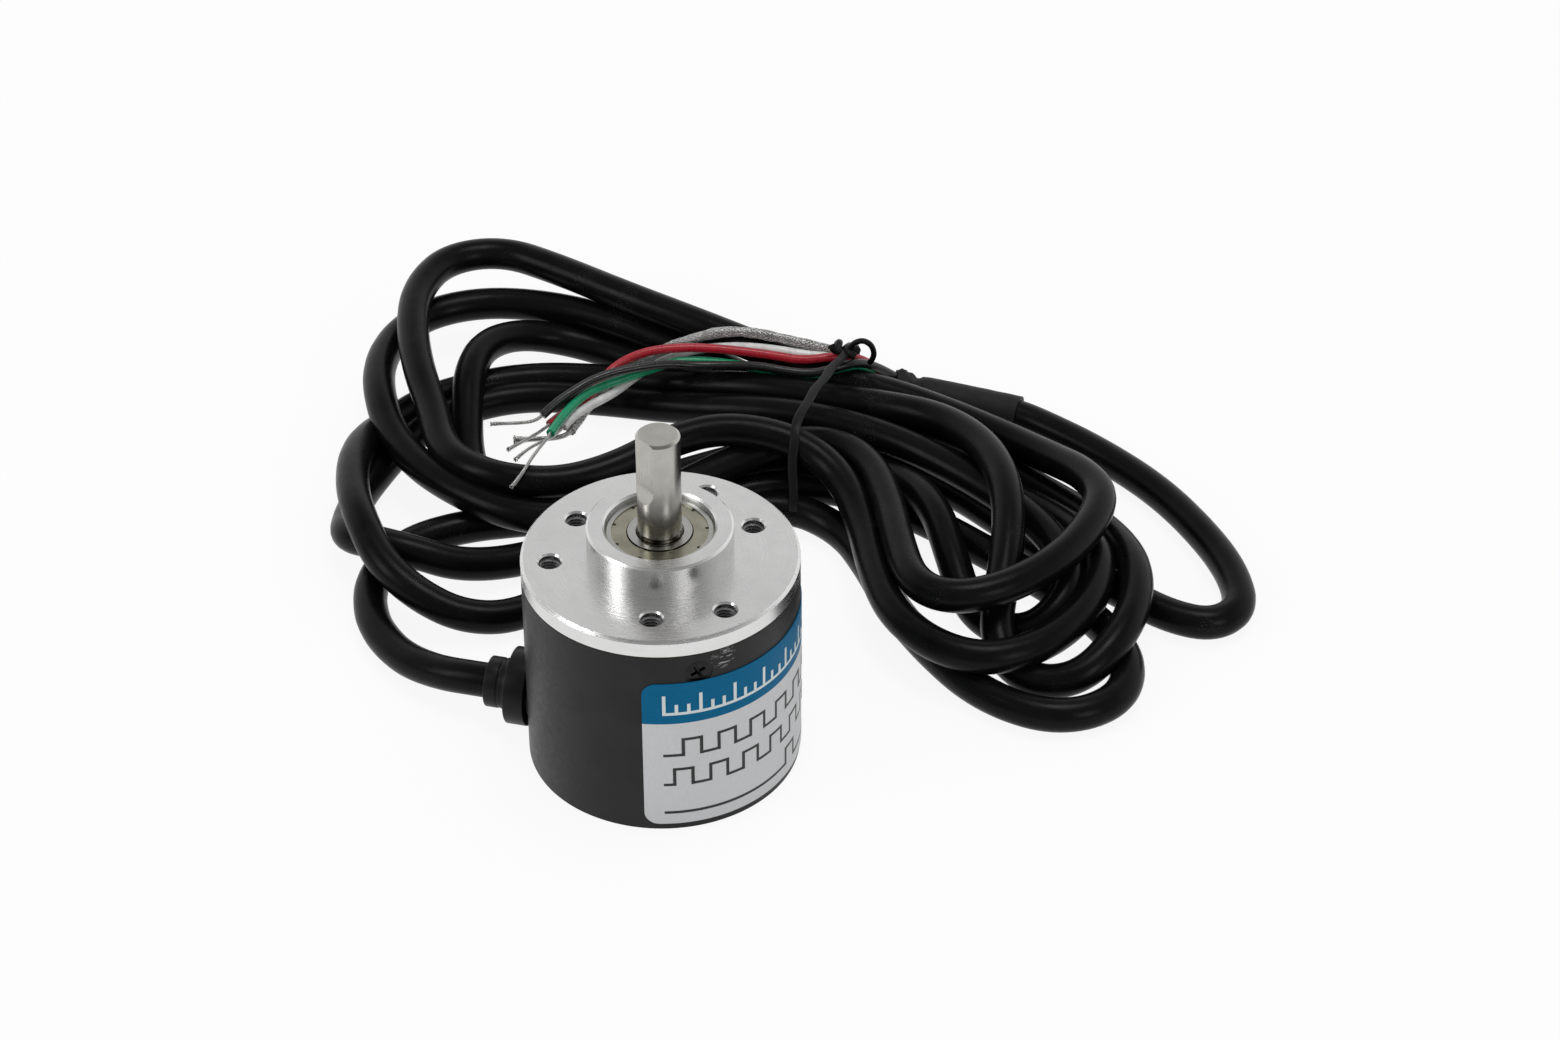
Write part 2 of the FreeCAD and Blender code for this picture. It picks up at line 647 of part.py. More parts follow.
# ---------------------------------------------------------------- tubes along a route
def route_edges(points, closed=False):
    """Straight runs joined by tangent arcs as large as the two runs allow, and the arcs' radii."""
    corners = [V(*point) for point in points]
    count = len(corners)
    arcs, radii = {}, []
    for i in range(0 if closed else 1, count if closed else count - 1):
        before = corners[i - 1] - corners[i]
        after = corners[(i + 1) % count] - corners[i]
        shorter = min(before.Length, after.Length)
        into, out = before.normalize(), after.normalize()
        half_turn = (math.pi - into.getAngle(out)) / 2
        reach = 0.45 * shorter
        radius = reach / math.tan(half_turn)
        bisector = (into + out).normalize()
        middle = corners[i] + bisector * (radius / math.cos(half_turn) - radius)
        arcs[i] = (corners[i] + into * reach, middle, corners[i] + out * reach)
        radii.append(radius)
    edges = []
    previous = arcs[count - 1][2] if closed else corners[0]
    for i in range(count):
        if i not in arcs:
            continue
        start, middle, end = arcs[i]
        edges.append(Part.LineSegment(previous, start).toShape())
        edges.append(Part.Arc(start, middle, end).toShape())
        previous = end
    if not closed:
        edges.append(Part.LineSegment(previous, corners[-1]).toShape())
    return edges, radii


def tube(name, points, diameter):
    """Round cord along a route; prints its tightest arc and checks its volume."""
    edges, radii = route_edges(points)
    path = Part.Wire(edges)
    first_run = V(*points[1]) - V(*points[0])
    section = Part.Wire(Part.makeCircle(diameter / 2, V(*points[0]), first_run))
    solid = path.makePipeShell([section], True, False)
    expected = math.pi * diameter ** 2 / 4 * path.Length
    print("%-16s length %6.1f  tightest arc %5.1f  volume %.3f of section x length"
          % (name, path.Length, min(radii, default=0), solid.Volume / expected))
    return solid


def inner_wires():
    """Cores of the cable, from the cut jacket to the header under the board."""
    start = -(cover_inner_r - cord_tail_inside) + seat_gap
    wires = []
    for i in range(inner_wire_count):
        step = i - (inner_wire_count - 1) / 2
        points = [(start, core_pitch * step, gland_z),
                  (start + 1.2, core_pitch * step, gland_z),
                  (header_x, header_pitch * step, gland_z + 1.2),
                  (header_x, header_pitch * step, board_low - header_h + 1.5)]
        wires.append(tube("inner_wire", points, inner_wire_d))
    return wires


# ---------------------------------------------------------------- cable, gland and strain relief
def along_x(radius, low, high):
    """Cylinder on the gland's axis between two X places."""
    return Part.makeCylinder(radius, high - low, V(low, 0, gland_z), X_AXIS)


def cable_gland():
    flange = along_x(gland_disc_d / 2, gland_face, -cover_inner_r + 2)
    flange = flange.cut(disc(body_r, -1, body_h))
    neck = along_x(gland_neck_d / 2, gland_face + 1, -(cover_inner_r - gland_lip_t))
    lip = along_x(gland_lip_d / 2, -body_r, -(cover_inner_r - gland_lip_t))
    lip = lip.common(disc(cover_inner_r - 0.05, -1, body_h))
    collar = along_x(gland_collar_d / 2, gland_mouth, gland_face)
    body = flange.fuse([neck, lip, collar])
    return body.cut(along_x(cord_d / 2, gland_mouth, 0))


def cord_stub():
    """Jacket held in the gland, up to its mouth."""
    return along_x(cord_d / 2, gland_mouth, -(cover_inner_r - cord_tail_inside))


def cable_ferrule():
    """Crimped ring that stops the jacket behind the gland."""
    low = -(cover_inner_r - gland_lip_t) + 0.1
    body = along_x(cord_d / 2 + ferrule_t, low, low + ferrule_l)
    return body.cut(along_x(cord_d / 2 + seat_gap, low, low + ferrule_l))


def prism(outline, low, high):
    """Upright solid over a rounded floor outline."""
    edges, radii = route_edges([(x, y, low) for x, y in outline], closed=True)
    return Part.Face(Part.Wire(edges)).extrude(V(0, 0, high - low))


def uprights(places, low, high):
    """Upright blocks between two heights."""
    return [Part.makeBox(length, width, high - low, V(x, y, low)) for x, y, length, width in places]


def cord_hank():
    """Outer shape of the tied turns, with the wires' and the tie's room cut out of it."""
    far = 200.0
    slab = prism(hank_outline, 0, hank_h)
    peaks = prism(hank_outline, hank_h, hank_peak_h)
    peaks = cut_all(peaks, uprights(two_high, 0, far))
    steps = uprights(step_high, hank_h, hank_step_h)
    body = slab.fuse([peaks] + steps)
    window = prism(hank_window, -1, hank_peak_h + 1)
    low = tie_x - tie_w / 2 - tie_gap
    width = tie_w + 2 * tie_gap
    under = Part.makeBox(width, far, tie_t + 2 * tie_gap, V(low, 0, 0))
    near = Part.makeBox(width, tie_y[0] + tie_t + tie_gap, far, V(low, 0, 0))
    return cut_all(body, uprights(wire_room, wire_rest_h, far) + [window, under, near])


def twist_tie():
    """Flat tie round the waist of the hank, its ends twisted into a stub."""
    near, behind = tie_y
    outer = Part.makeBox(tie_w, behind - near, tie_top - tie_gap, V(tie_x - tie_w / 2, near, tie_gap))
    inner = Part.makeBox(tie_w, behind - near - 2 * tie_t, tie_top - tie_gap - 2 * tie_t,
                         V(tie_x - tie_w / 2, near + tie_t, tie_gap + tie_t))
    knot_r = tie_knot_d / 2
    stub = Part.makeCylinder(knot_r, tie_knot_l, V(tie_x, tie_knot_y, tie_top - knot_r), X_AXIS)
    return outer.cut(inner).fuse(stub)


def heat_shrink_sleeve():
    """Sleeve over the cut end of the jacket, drawn in to the wires at its far end."""
    axis = sleeve_end - sleeve_start
    neck_axis = sleeve_neck - sleeve_end
    body = Part.makeCylinder(sleeve_d / 2, axis.Length, sleeve_start, axis)
    neck = Part.makeCone(sleeve_d / 2, sleeve_neck_d / 2, neck_axis.Length, sleeve_end, neck_axis)
    bore = Part.makeCylinder(cord_d / 2, sleeve_grip, sleeve_start, axis)
    return body.fuse(neck).cut(bore)


# ---------------------------------------------------------------- build
save("flange_housing", flange_housing())
save("cover_can", cover_can())
save("cover_screws", cover_screws())
save("side_label", side_label())
for place, low in (("front", front_low), ("rear", rear_low)):
    save(place + "_bearing_outer_ring", outer_ring(low))
    save(place + "_bearing_inner_ring", inner_ring(low))
    save(place + "_bearing_balls", bearing_balls(low))
    save(place + "_bearing_cage", bearing_cage(low))
    save(place + "_bearing_upper_shield", bearing_shield(low, True))
    save(place + "_bearing_lower_shield", bearing_shield(low, False))
save("outer_spacer", outer_spacer())
save("inner_spacer", inner_spacer())
save("wave_washer", wave_washer())
save("shaft", shaft())
save("retaining_clip", retaining_clip())
save("disc_collar", disc_collar())
save("collar_set_screw", set_screw())
save("code_disc", code_disc())
save("circuit_board", circuit_board())
save("board_posts", board_posts())
save("board_screws", board_screws())
save("photo_sensor", photo_sensor())
save("mask_plate", mask_plate())
save("emitter_bracket", emitter_bracket())
save("light_emitter", light_emitter())
save("interface_chip", interface_chip())
save("smoothing_capacitor", smoothing_capacitor())
save("chip_resistors", chip_resistors())
save("wire_header", wire_header())
save("inner_wires", inner_wires())
save("cable_gland", cable_gland())
save("cable_ferrule", cable_ferrule())
save("cord_stub", cord_stub())
save("cord_lead", tube("cord_lead", lead_route, cord_d))
save("cord_hank", cord_hank())
save("cord_tail", tube("cord_tail", tail_route, cord_d))
save("heat_shrink_sleeve", heat_shrink_sleeve())
save("twist_tie", twist_tie())
for node, route in wire_routes.items():
    save(node, tube(node, route, braid_d if node == "shield_braid" else wire_d))
for node, route in strand_routes.items():
    save(node, tube(node, route, braid_end_d if node == "braid_tip" else strand_d))
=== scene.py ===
import math

import bmesh
import bpy
from mathutils import Matrix, Vector, noise


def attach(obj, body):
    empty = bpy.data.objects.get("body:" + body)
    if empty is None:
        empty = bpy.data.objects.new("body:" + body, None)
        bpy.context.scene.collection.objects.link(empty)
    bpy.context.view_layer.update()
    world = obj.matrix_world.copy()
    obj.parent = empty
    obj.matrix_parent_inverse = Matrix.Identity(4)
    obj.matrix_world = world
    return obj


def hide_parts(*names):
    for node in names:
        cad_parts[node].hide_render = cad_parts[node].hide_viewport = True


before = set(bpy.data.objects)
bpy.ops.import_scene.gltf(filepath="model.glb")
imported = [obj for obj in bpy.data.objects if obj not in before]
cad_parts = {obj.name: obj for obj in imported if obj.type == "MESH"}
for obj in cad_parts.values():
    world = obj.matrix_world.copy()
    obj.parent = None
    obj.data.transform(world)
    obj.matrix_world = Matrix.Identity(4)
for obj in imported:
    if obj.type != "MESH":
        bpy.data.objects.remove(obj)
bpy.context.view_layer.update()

MM = 0.001

# ---------------------------------------------------------------- sizes, in millimetres
FACE_Z = 33.0            # mounting face

CABLE_D = 5.0
WIRE_D = 1.4
BRAID_D = 1.8
FILAMENT_D = 0.19
GLAND_MOUTH = (-25.4, 0.0, 5.6)

THREAD_PITCH = 0.5
THREAD_TURNS = 9
THREAD_MAJOR_R = 1.5
THREAD_MINOR_R = 1.26
THREAD_ROOT_SINK = 0.03      # how far the ridges sink into the hole's wall
THREAD_ROOT_HALF, THREAD_CREST_HALF = 0.23, 0.04
THREAD_CHAMFER, THREAD_START = 0.3, 0.1
HOLE_CIRCLES = ((14.0, 40.0), (15.0, 80.0))      # radius, place of the first hole in degrees
HOLES_EACH = 3

LABEL_R = 19.14
LABEL_BAND_Z = 19.0
INK_PROUD, INK_THICK, INK_LINE = 0.012, 0.03, 0.46
MARKS_FROM, MARKS_TO = 285.0, 414.0      # degrees round the cover
TRACE_HEIGHT = 2.7
TICK_COUNT, TICK_STEP, TICK_WIDTH = 27, 5.0, 1.4


def metres(points):
    """Points in millimetres as points in metres."""
    return [tuple(c * MM for c in point) for point in points]


# ---------------------------------------------------------------- camera
lens_angle = math.radians(37.587)      # looking down
lens_turn = math.radians(13.6)         # from the object's right
eye = bpy.data.cameras.new("view_camera")
eye.sensor_width = 36.0
eye.lens = 89.34
camera = bpy.data.objects.new("view_camera", eye)
camera.location = (0.1126, -0.3967, 0.3559)
camera.rotation_euler = (math.pi / 2 - lens_angle, 0, lens_turn)
bpy.context.scene.collection.objects.link(camera)
bpy.context.scene.camera = camera
bpy.context.scene.view_settings.view_transform = "Standard"


# ---------------------------------------------------------------- patterns that finishes are built from
class Finish:
    """Node-built finish for one kind of surface, on the object's own coordinates."""

    def __init__(self, name, metal=0.0, specular=0.5):
        self.material = bpy.data.materials.new(name)
        self.material.use_nodes = True
        self.tree = self.material.node_tree
        self.shader = self.tree.nodes["Principled BSDF"]
        self.shader.inputs["Metallic"].default_value = metal
        self.shader.inputs["Specular IOR Level"].default_value = specular
        self.place = self.tree.nodes.new("ShaderNodeTexCoord").outputs["Object"]

    def join(self, source, target):
        self.tree.links.new(source, target)

    def stretched(self, x, y, z):
        """Own coordinates squeezed along each axis, for streaks."""
        node = self.tree.nodes.new("ShaderNodeMapping")
        node.inputs["Scale"].default_value = (x, y, z)
        self.join(self.place, node.inputs["Vector"])
        return node.outputs["Vector"]

    def cloud(self, patch, detail=3.0, place=None, sharp=0.55):
        """Soft uneven pattern, its patches about patch millimetres across."""
        node = self.tree.nodes.new("ShaderNodeTexNoise")
        node.inputs["Scale"].default_value = 1 / (patch * MM)
        node.inputs["Detail"].default_value = detail
        node.inputs["Roughness"].default_value = sharp
        self.join(place or self.place, node.inputs["Vector"])
        return node.outputs["Fac"]

    def part_of_place(self, axis):
        node = self.tree.nodes.new("ShaderNodeSeparateXYZ")
        self.join(self.place, node.inputs["Vector"])
        return node.outputs[axis]

    def reckon(self, what, first, second=0.0):
        """One sum on values or numbers."""
        node = self.tree.nodes.new("ShaderNodeMath")
        node.operation = what
        for socket, value in zip(node.inputs, (first, second)):
            if isinstance(value, (int, float)):
                socket.default_value = value
            else:
                self.join(value, socket)
        return node.outputs["Value"]

    def radius(self):
        """Distance from the shaft's axis, in metres."""
        x, y = self.part_of_place("X"), self.part_of_place("Y")
        squares = self.reckon("ADD", self.reckon("MULTIPLY", x, x), self.reckon("MULTIPLY", y, y))
        return self.reckon("SQRT", squares)

    def turning_lines(self, pitch, value=None):
        """Uneven rings left by a lathe tool, about pitch millimetres apart."""
        node = self.tree.nodes.new("ShaderNodeTexNoise")
        node.noise_dimensions = "1D"
        node.inputs["Scale"].default_value = 1 / (pitch * MM)
        node.inputs["Detail"].default_value = 2.0
        self.join(value or self.radius(), node.inputs["W"])
        return node.outputs["Fac"]

    def span(self, value, low, high, to_low=0.0, to_high=1.0):
        """Value between low and high spread to another range, clamped."""
        node = self.tree.nodes.new("ShaderNodeMapRange")
        ends = (("From Min", low), ("From Max", high), ("To Min", to_low), ("To Max", to_high))
        for key, number in ends:
            node.inputs[key].default_value = number
        self.join(value, node.inputs["Value"])
        return node.outputs["Result"]

    def near(self, centre, reach):
        """1 at a point in millimetres, falling to 0 at reach millimetres from it."""
        node = self.tree.nodes.new("ShaderNodeVectorMath")
        node.operation = "DISTANCE"
        node.inputs[1].default_value = [c * MM for c in centre]
        self.join(self.place, node.inputs[0])
        return self.span(node.outputs["Value"], 0.0, reach * MM, 1.0, 0.0)

    def tint(self, value, *stops):
        """Colour by value from (place, colour) stops."""
        node = self.tree.nodes.new("ShaderNodeValToRGB")
        ramp = node.color_ramp
        while len(ramp.elements) < len(stops):
            ramp.elements.new(1.0)
        for element, (where, colour) in zip(ramp.elements, stops):
            element.position = where
            element.color = (*colour, 1)
        self.join(value, node.inputs["Fac"])
        return node.outputs["Color"]

    def over(self, share, under, upper):
        """Upper colour laid over another by share."""
        node = self.tree.nodes.new("ShaderNodeMix")
        node.data_type = "RGBA"
        self.join(share, node.inputs["Factor"])
        for socket, colour in zip(("A", "B"), (under, upper)):
            target = [s for s in node.inputs if s.name == socket and s.type == "RGBA"][0]
            if isinstance(colour, tuple):
                target.default_value = (*colour, 1)
            else:
                self.join(colour, target)
        return [s for s in node.outputs if s.type == "RGBA"][0]

    def coloured(self, colour):
        self.join(colour, self.shader.inputs["Base Color"])
        return self

    def dulled(self, value):
        self.join(value, self.shader.inputs["Roughness"])
        return self

    def relief(self, height, depth, strength=1.0):
        """Bumps depth millimetres high, over any bumps already there."""
        node = self.tree.nodes.new("ShaderNodeBump")
        node.inputs["Strength"].default_value = strength
        node.inputs["Distance"].default_value = depth * MM
        self.join(height, node.inputs["Height"])
        normal = self.shader.inputs["Normal"]
        if normal.links:
            self.join(normal.links[0].from_socket, node.inputs["Normal"])
        self.join(node.outputs["Normal"], normal)
        return self


def grey(level, warm=0.0):
    return (level * (1 + warm), level, level * (1 - warm))


# ---------------------------------------------------------------- finishes
def moulded_plastic(name, colour, rough=0.42, pale=1.6, grain=0.12, specular=0.18):
    """Moulded part with fine grain, faint cloudiness and rubbed places."""
    finish = Finish(name, specular=specular)
    cloudy = finish.cloud(4.0)
    rubbed = tuple(min(1.0, c * pale) for c in colour)
    finish.coloured(finish.tint(cloudy, (0.35, colour), (0.7, rubbed)))
    finish.dulled(finish.span(finish.cloud(1.3), 0.3, 0.7, rough - 0.06, rough + 0.08))
    finish.relief(finish.cloud(grain, detail=2.0), 0.012, 0.5)
    return finish


def machined_metal(name, colour, rough=0.3, pitch=0.12, depth=0.004, stain=0.85, anisotropic=0.35):
    """Turned metal: fine rings about the shaft's axis and light staining."""
    finish = Finish(name, metal=1.0)
    stained = tuple(c * stain for c in colour)
    lines = finish.turning_lines(pitch)
    finish.coloured(finish.tint(finish.cloud(2.5), (0.3, stained), (0.62, colour)))
    finish.dulled(finish.span(lines, 0.3, 0.7, rough - 0.05, rough + 0.08))
    finish.relief(lines, depth, 0.6)
    finish.shader.inputs["Anisotropic"].default_value = anisotropic
    tangent = finish.tree.nodes.new("ShaderNodeTangent")
    tangent.direction_type = "RADIAL"
    tangent.axis = "Z"
    finish.join(tangent.outputs["Tangent"], finish.shader.inputs["Tangent"])
    return finish


def drawn_metal(name, colour, rough=0.3, patch=0.25, stain=0.8, depth=0.006):
    """Stamped, drawn or plated metal with soft mottling and small pits."""
    finish = Finish(name, metal=1.0)
    stained = tuple(c * stain for c in colour)
    finish.coloured(finish.tint(finish.cloud(1.1), (0.32, stained), (0.6, colour)))
    finish.dulled(finish.span(finish.cloud(patch), 0.3, 0.7, rough - 0.06, rough + 0.1))
    finish.relief(finish.cloud(patch, detail=4.0), depth, 0.4)
    return finish


def alloy_finish():
    """Clear-anodised alloy: lathe rings, a soft bright satin and nicks along the rim's chamfer."""
    finish = machined_metal("anodised_alloy_finish", grey(0.74, 0.004), rough=0.25, pitch=0.2, depth=0.0016,
                            stain=0.95, anisotropic=0.5)
    radius = finish.radius()
    height = finish.part_of_place("Z")
    outer = finish.span(radius, 18.35 * MM, 18.6 * MM)
    upper = finish.span(height, 32.45 * MM, 32.6 * MM)
    edge = finish.reckon("MULTIPLY", outer, upper)
    nicks = finish.span(finish.cloud(0.35, detail=2.0), 0.6, 0.68)
    marked = finish.reckon("MULTIPLY", edge, nicks)
    base = finish.shader.inputs["Base Color"].links[0].from_socket
    finish.coloured(finish.over(marked, base, grey(0.5)))
    finish.relief(finish.reckon("MULTIPLY", marked, -1.0), 0.02, 0.6)
    specks = finish.span(finish.cloud(0.22, detail=1.0), 0.74, 0.78)
    finish.relief(finish.reckon("MULTIPLY", specks, -1.0), 0.006, 0.4)
    return finish


def cover_finish():
    """Black baked paint with a fine grain, a thin tan band along the top edge and a few pale scratches by
    one screw.
    """
    finish = Finish("cover_black_finish", specular=0.2)
    cloudy = finish.cloud(5.0)
    paint = finish.tint(cloudy, (0.3, grey(0.0095)), (0.7, grey(0.0145)))
    height = finish.part_of_place("Z")
    # A thin tan band along the top edge of the cover.
    top_edge = finish.span(height, 30.36 * MM, 30.42 * MM)
    paint = finish.over(top_edge, paint, (0.30, 0.25, 0.13))
    scrape_place = finish.stretched(0.5, 0.5, 2.2)
    scraped = finish.span(finish.cloud(0.62, detail=4.0, place=scrape_place, sharp=0.7), 0.575, 0.6)
    near_screw = finish.span(finish.near((12.4, -14.4, 28.9), 2.7), 0.25, 0.6)
    scratches = finish.reckon("MULTIPLY", scraped, near_screw)
    paint = finish.over(scratches, paint, grey(0.42))
    finish.coloured(paint)
    finish.dulled(finish.span(finish.cloud(0.9), 0.3, 0.7, 0.36, 0.46))
    finish.relief(finish.cloud(0.11, detail=3.0), 0.02, 0.55)
    finish.relief(finish.reckon("MULTIPLY", scratches, -1.0), 0.03, 0.6)
    return finish


def label_finish():
    """Printed film: a blue band over silver grey, with a paper-fine mottling."""
    finish = Finish("label_film_finish", specular=0.07)
    fine = finish.cloud(0.35)
    silver = finish.tint(fine, (0.3, (0.575, 0.58, 0.59)), (0.7, (0.615, 0.62, 0.63)))
    blue = finish.tint(fine, (0.3, (0.0012, 0.108, 0.232)), (0.7, (0.002, 0.126, 0.262)))
    band = finish.span(finish.part_of_place("Z"), (LABEL_BAND_Z - 0.02) * MM, (LABEL_BAND_Z + 0.02) * MM)
    finish.coloured(finish.over(band, silver, blue))
    finish.dulled(finish.span(finish.cloud(2.0), 0.3, 0.7, 0.40, 0.48))
    finish.relief(finish.cloud(0.25), 0.006, 0.4)
    return finish


def jacket_finish():
    """Soft black cable jacket: satin, with dusty scuffs and faint bumps."""
    finish = Finish("jacket_black_finish", specular=0.1)
    cloudy = finish.cloud(6.0)
    black = finish.tint(cloudy, (0.3, grey(0.0024)), (0.7, grey(0.0045)))
    scuff_zone = finish.span(finish.cloud(9.0, detail=2.0), 0.60, 0.70)
    scuff = finish.span(finish.cloud(0.16, detail=5.0, sharp=0.75), 0.60, 0.66)
    dust = finish.reckon("MULTIPLY", scuff_zone, scuff)
    finish.coloured(finish.over(dust, black, grey(0.16)))
    finish.dulled(finish.span(finish.cloud(2.6, detail=4.0), 0.3, 0.7, 0.25, 0.35))
    finish.relief(finish.cloud(1.6, detail=2.0), 0.05, 0.35)
    finish.relief(finish.cloud(0.14, detail=3.0), 0.012, 0.45)
    return finish


def shaft_finish():
    """Ground shaft steel, warm grey, darker in brown blotches towards its root, with lines along the flat.
    """
    finish = machined_metal("shaft_steel_finish", (0.46, 0.45, 0.415), rough=0.22, pitch=0.1, depth=0.002,
                            stain=0.86, anisotropic=0.3)
    base = finish.shader.inputs["Base Color"].links[0].from_socket
    height = finish.part_of_place("Z")
    # Darker brown blotches towards the root, where the shaft leaves the bearing.
    root = finish.span(height, 37.2 * MM, 39.4 * MM, 1.0, 0.0)
    root_blotches = finish.span(finish.cloud(1.2, detail=4.0), 0.42, 0.6)
    finish.coloured(finish.over(finish.reckon("MULTIPLY", root, root_blotches), base, (0.10, 0.085, 0.06)))
    finish.relief(finish.turning_lines(0.09, height), 0.003, 0.6)
    return finish


def shield_finish():
    """Stamped bearing shield with a faint yellow-green oil film."""
    return machined_metal("shield_steel_finish", (0.36, 0.35, 0.275), rough=0.22, pitch=0.3, depth=0.006,
                          stain=0.75, anisotropic=0.4)


def wire_finish(name, colour, specular=0.5):
    """Thin wire insulation, glossy, with faint dents from the cores inside."""
    finish = Finish(name, specular=specular)
    darker = tuple(c * 0.75 for c in colour)
    finish.coloured(finish.tint(finish.cloud(1.5), (0.3, darker), (0.65, colour)))
    finish.dulled(finish.span(finish.cloud(0.6), 0.3, 0.7, 0.24, 0.36))
    finish.relief(finish.cloud(0.5, detail=2.0), 0.03, 0.35)
    return finish


def board_finish():
    """Green solder mask over woven laminate, with a pale edge of glass cloth."""
    finish = Finish("board_laminate_finish", specular=0.5)
    weave = finish.tree.nodes.new("ShaderNodeTexChecker")
    weave.inputs["Scale"].default_value = 1 / (0.5 * MM)
    finish.join(finish.place, weave.inputs["Vector"])
    green = finish.tint(weave.outputs["Fac"], (0.0, (0.012, 0.105, 0.045)), (1.0, (0.016, 0.125, 0.055)))
    rim = finish.span(finish.radius(), 17.45 * MM, 17.55 * MM)
    finish.coloured(finish.over(rim, green, (0.42, 0.38, 0.22)))
    finish.dulled(finish.span(finish.cloud(1.0), 0.3, 0.7, 0.25, 0.4))
    finish.relief(weave.outputs["Fac"], 0.004, 0.4)
    return finish


def glass_disc_finish():
    """Dark code disc with fine radial windows near its edge."""
    finish = Finish("code_glass_finish", specular=0.6)
    x, y = finish.part_of_place("X"), finish.part_of_place("Y")
    angle = finish.reckon("ARCTAN2", y, x)
    slits = finish.reckon("SINE", finish.reckon("MULTIPLY", angle, 400.0))
    radius = finish.radius()
    track = finish.reckon("MULTIPLY", finish.span(radius, 10.0 * MM, 10.05 * MM),
                          finish.span(radius, 12.0 * MM, 12.05 * MM, 1.0, 0.0))
    open_slit = finish.reckon("MULTIPLY", track, finish.span(slits, -0.1, 0.1))
    film = finish.tint(finish.cloud(2.0), (0.3, (0.055, 0.045, 0.03)), (0.7, (0.08, 0.07, 0.05)))
    finish.coloured(finish.over(open_slit, film, (0.55, 0.57, 0.58)))
    finish.dulled(finish.span(finish.cloud(1.5), 0.3, 0.7, 0.08, 0.16))
    finish.relief(open_slit, 0.002, 0.5)
    return finish


finishes = {
    "anodised_alloy": alloy_finish(),
    "cover_black": cover_finish(),
    "label_film": label_finish(),
    "shaft_steel": shaft_finish(),
    "shield_steel": shield_finish(),
    "jacket_black": jacket_finish(),
    "board_laminate": board_finish(),
    "code_glass": glass_disc_finish(),
    "bearing_steel": machined_metal("bearing_steel_finish", (0.46, 0.46, 0.44), 0.2, 0.1, 0.002, 0.9, 0.3),
    "collar_alloy": machined_metal("collar_alloy_finish", grey(0.62), 0.3, 0.14, 0.004),
    "brass_turned": machined_metal("brass_turned_finish", (0.62, 0.46, 0.18), 0.28, 0.14, 0.004),
    "plated_steel": drawn_metal("plated_steel_finish", grey(0.028), 0.36),
    "cage_steel": drawn_metal("cage_steel_finish", (0.5, 0.5, 0.48), 0.3),
    "spring_steel": drawn_metal("spring_steel_finish", (0.4, 0.4, 0.39), 0.26),
    "capacitor_can": drawn_metal("capacitor_can_finish", grey(0.66), 0.3),
    "crimp_steel": drawn_metal("crimp_steel_finish", grey(0.5), 0.34),
    "tinned_copper": drawn_metal("tinned_copper_finish", (0.52, 0.517, 0.505), 0.3, 0.2, 0.72),
    "gland_black": moulded_plastic("gland_black_finish", grey(0.006), 0.38),
    "sleeve_black": moulded_plastic("sleeve_black_finish", grey(0.0085), 0.55, 1.5, 0.2, 0.2),
    "tie_black": moulded_plastic("tie_black_finish", grey(0.0042), 0.4),
    "chip_black": moulded_plastic("chip_black_finish", grey(0.02), 0.55),
    "mask_black": moulded_plastic("mask_black_finish", grey(0.03), 0.5),
    "resistor_body": moulded_plastic("resistor_body_finish", grey(0.05), 0.4),
    "header_white": moulded_plastic("header_white_finish", (0.72, 0.70, 0.62), 0.4, 1.08),
    "core_wires": wire_finish("core_wires_finish", (0.35, 0.34, 0.33)),
    "insulation_black": wire_finish("insulation_black_finish", grey(0.008)),
    "insulation_green": wire_finish("insulation_green_finish", (0.004, 0.29, 0.135)),
    "insulation_red": wire_finish("insulation_red_finish", (0.40, 0.008, 0.022)),
    "insulation_white": wire_finish("insulation_white_finish", (0.75, 0.75, 0.74)),
}

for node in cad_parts.values():
    for place in node.material_slots:
        place.material = finishes[place.material.name.split(".")[0]].material


# ---------------------------------------------------------------- making pieces
def show(name, data, slot, body="housing", replaced=(), finish=None):
    """Piece in the scene, with its finish, riding on its body in place of its CAD nodes."""
    piece = bpy.data.objects.new(name, data)
    bpy.context.scene.collection.objects.link(piece)
    data.materials.append(finishes[finish or slot].material)
    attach(piece, body)
    if replaced:
        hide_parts(*replaced)
    return piece


def mesh_of(name, bm, crease):
    """Mesh of a finished bmesh, smooth but for edges sharper than crease degrees."""
    bmesh.ops.remove_doubles(bm, verts=bm.verts, dist=1e-7)
    bmesh.ops.recalc_face_normals(bm, faces=bm.faces)
    for face in bm.faces:
        face.smooth = True
    for edge in bm.edges:
        edge.smooth = len(edge.link_faces) == 2 and edge.calc_face_angle() < math.radians(crease)
    mesh = bpy.data.meshes.new(name)
    bm.to_mesh(mesh)
    bm.free()
    return mesh


def ring_of_edges(bm, corners):
    """Edges joining corners in order, the last back to the first."""
    return [bm.edges.new(pair) for pair in zip(corners, corners[1:] + corners[:1])]


def turn_outline(bm, outline, steps):
    """Ring turned about the upright axis from (radius, height) millimetre points."""
    corners = [bm.verts.new((r * MM, 0, z * MM)) for r, z in outline]
    bmesh.ops.spin(bm, geom=corners + ring_of_edges(bm, corners), cent=(0, 0, 0), axis=(0, 0, 1),
                   angle=2 * math.pi, steps=steps, use_merge=True)


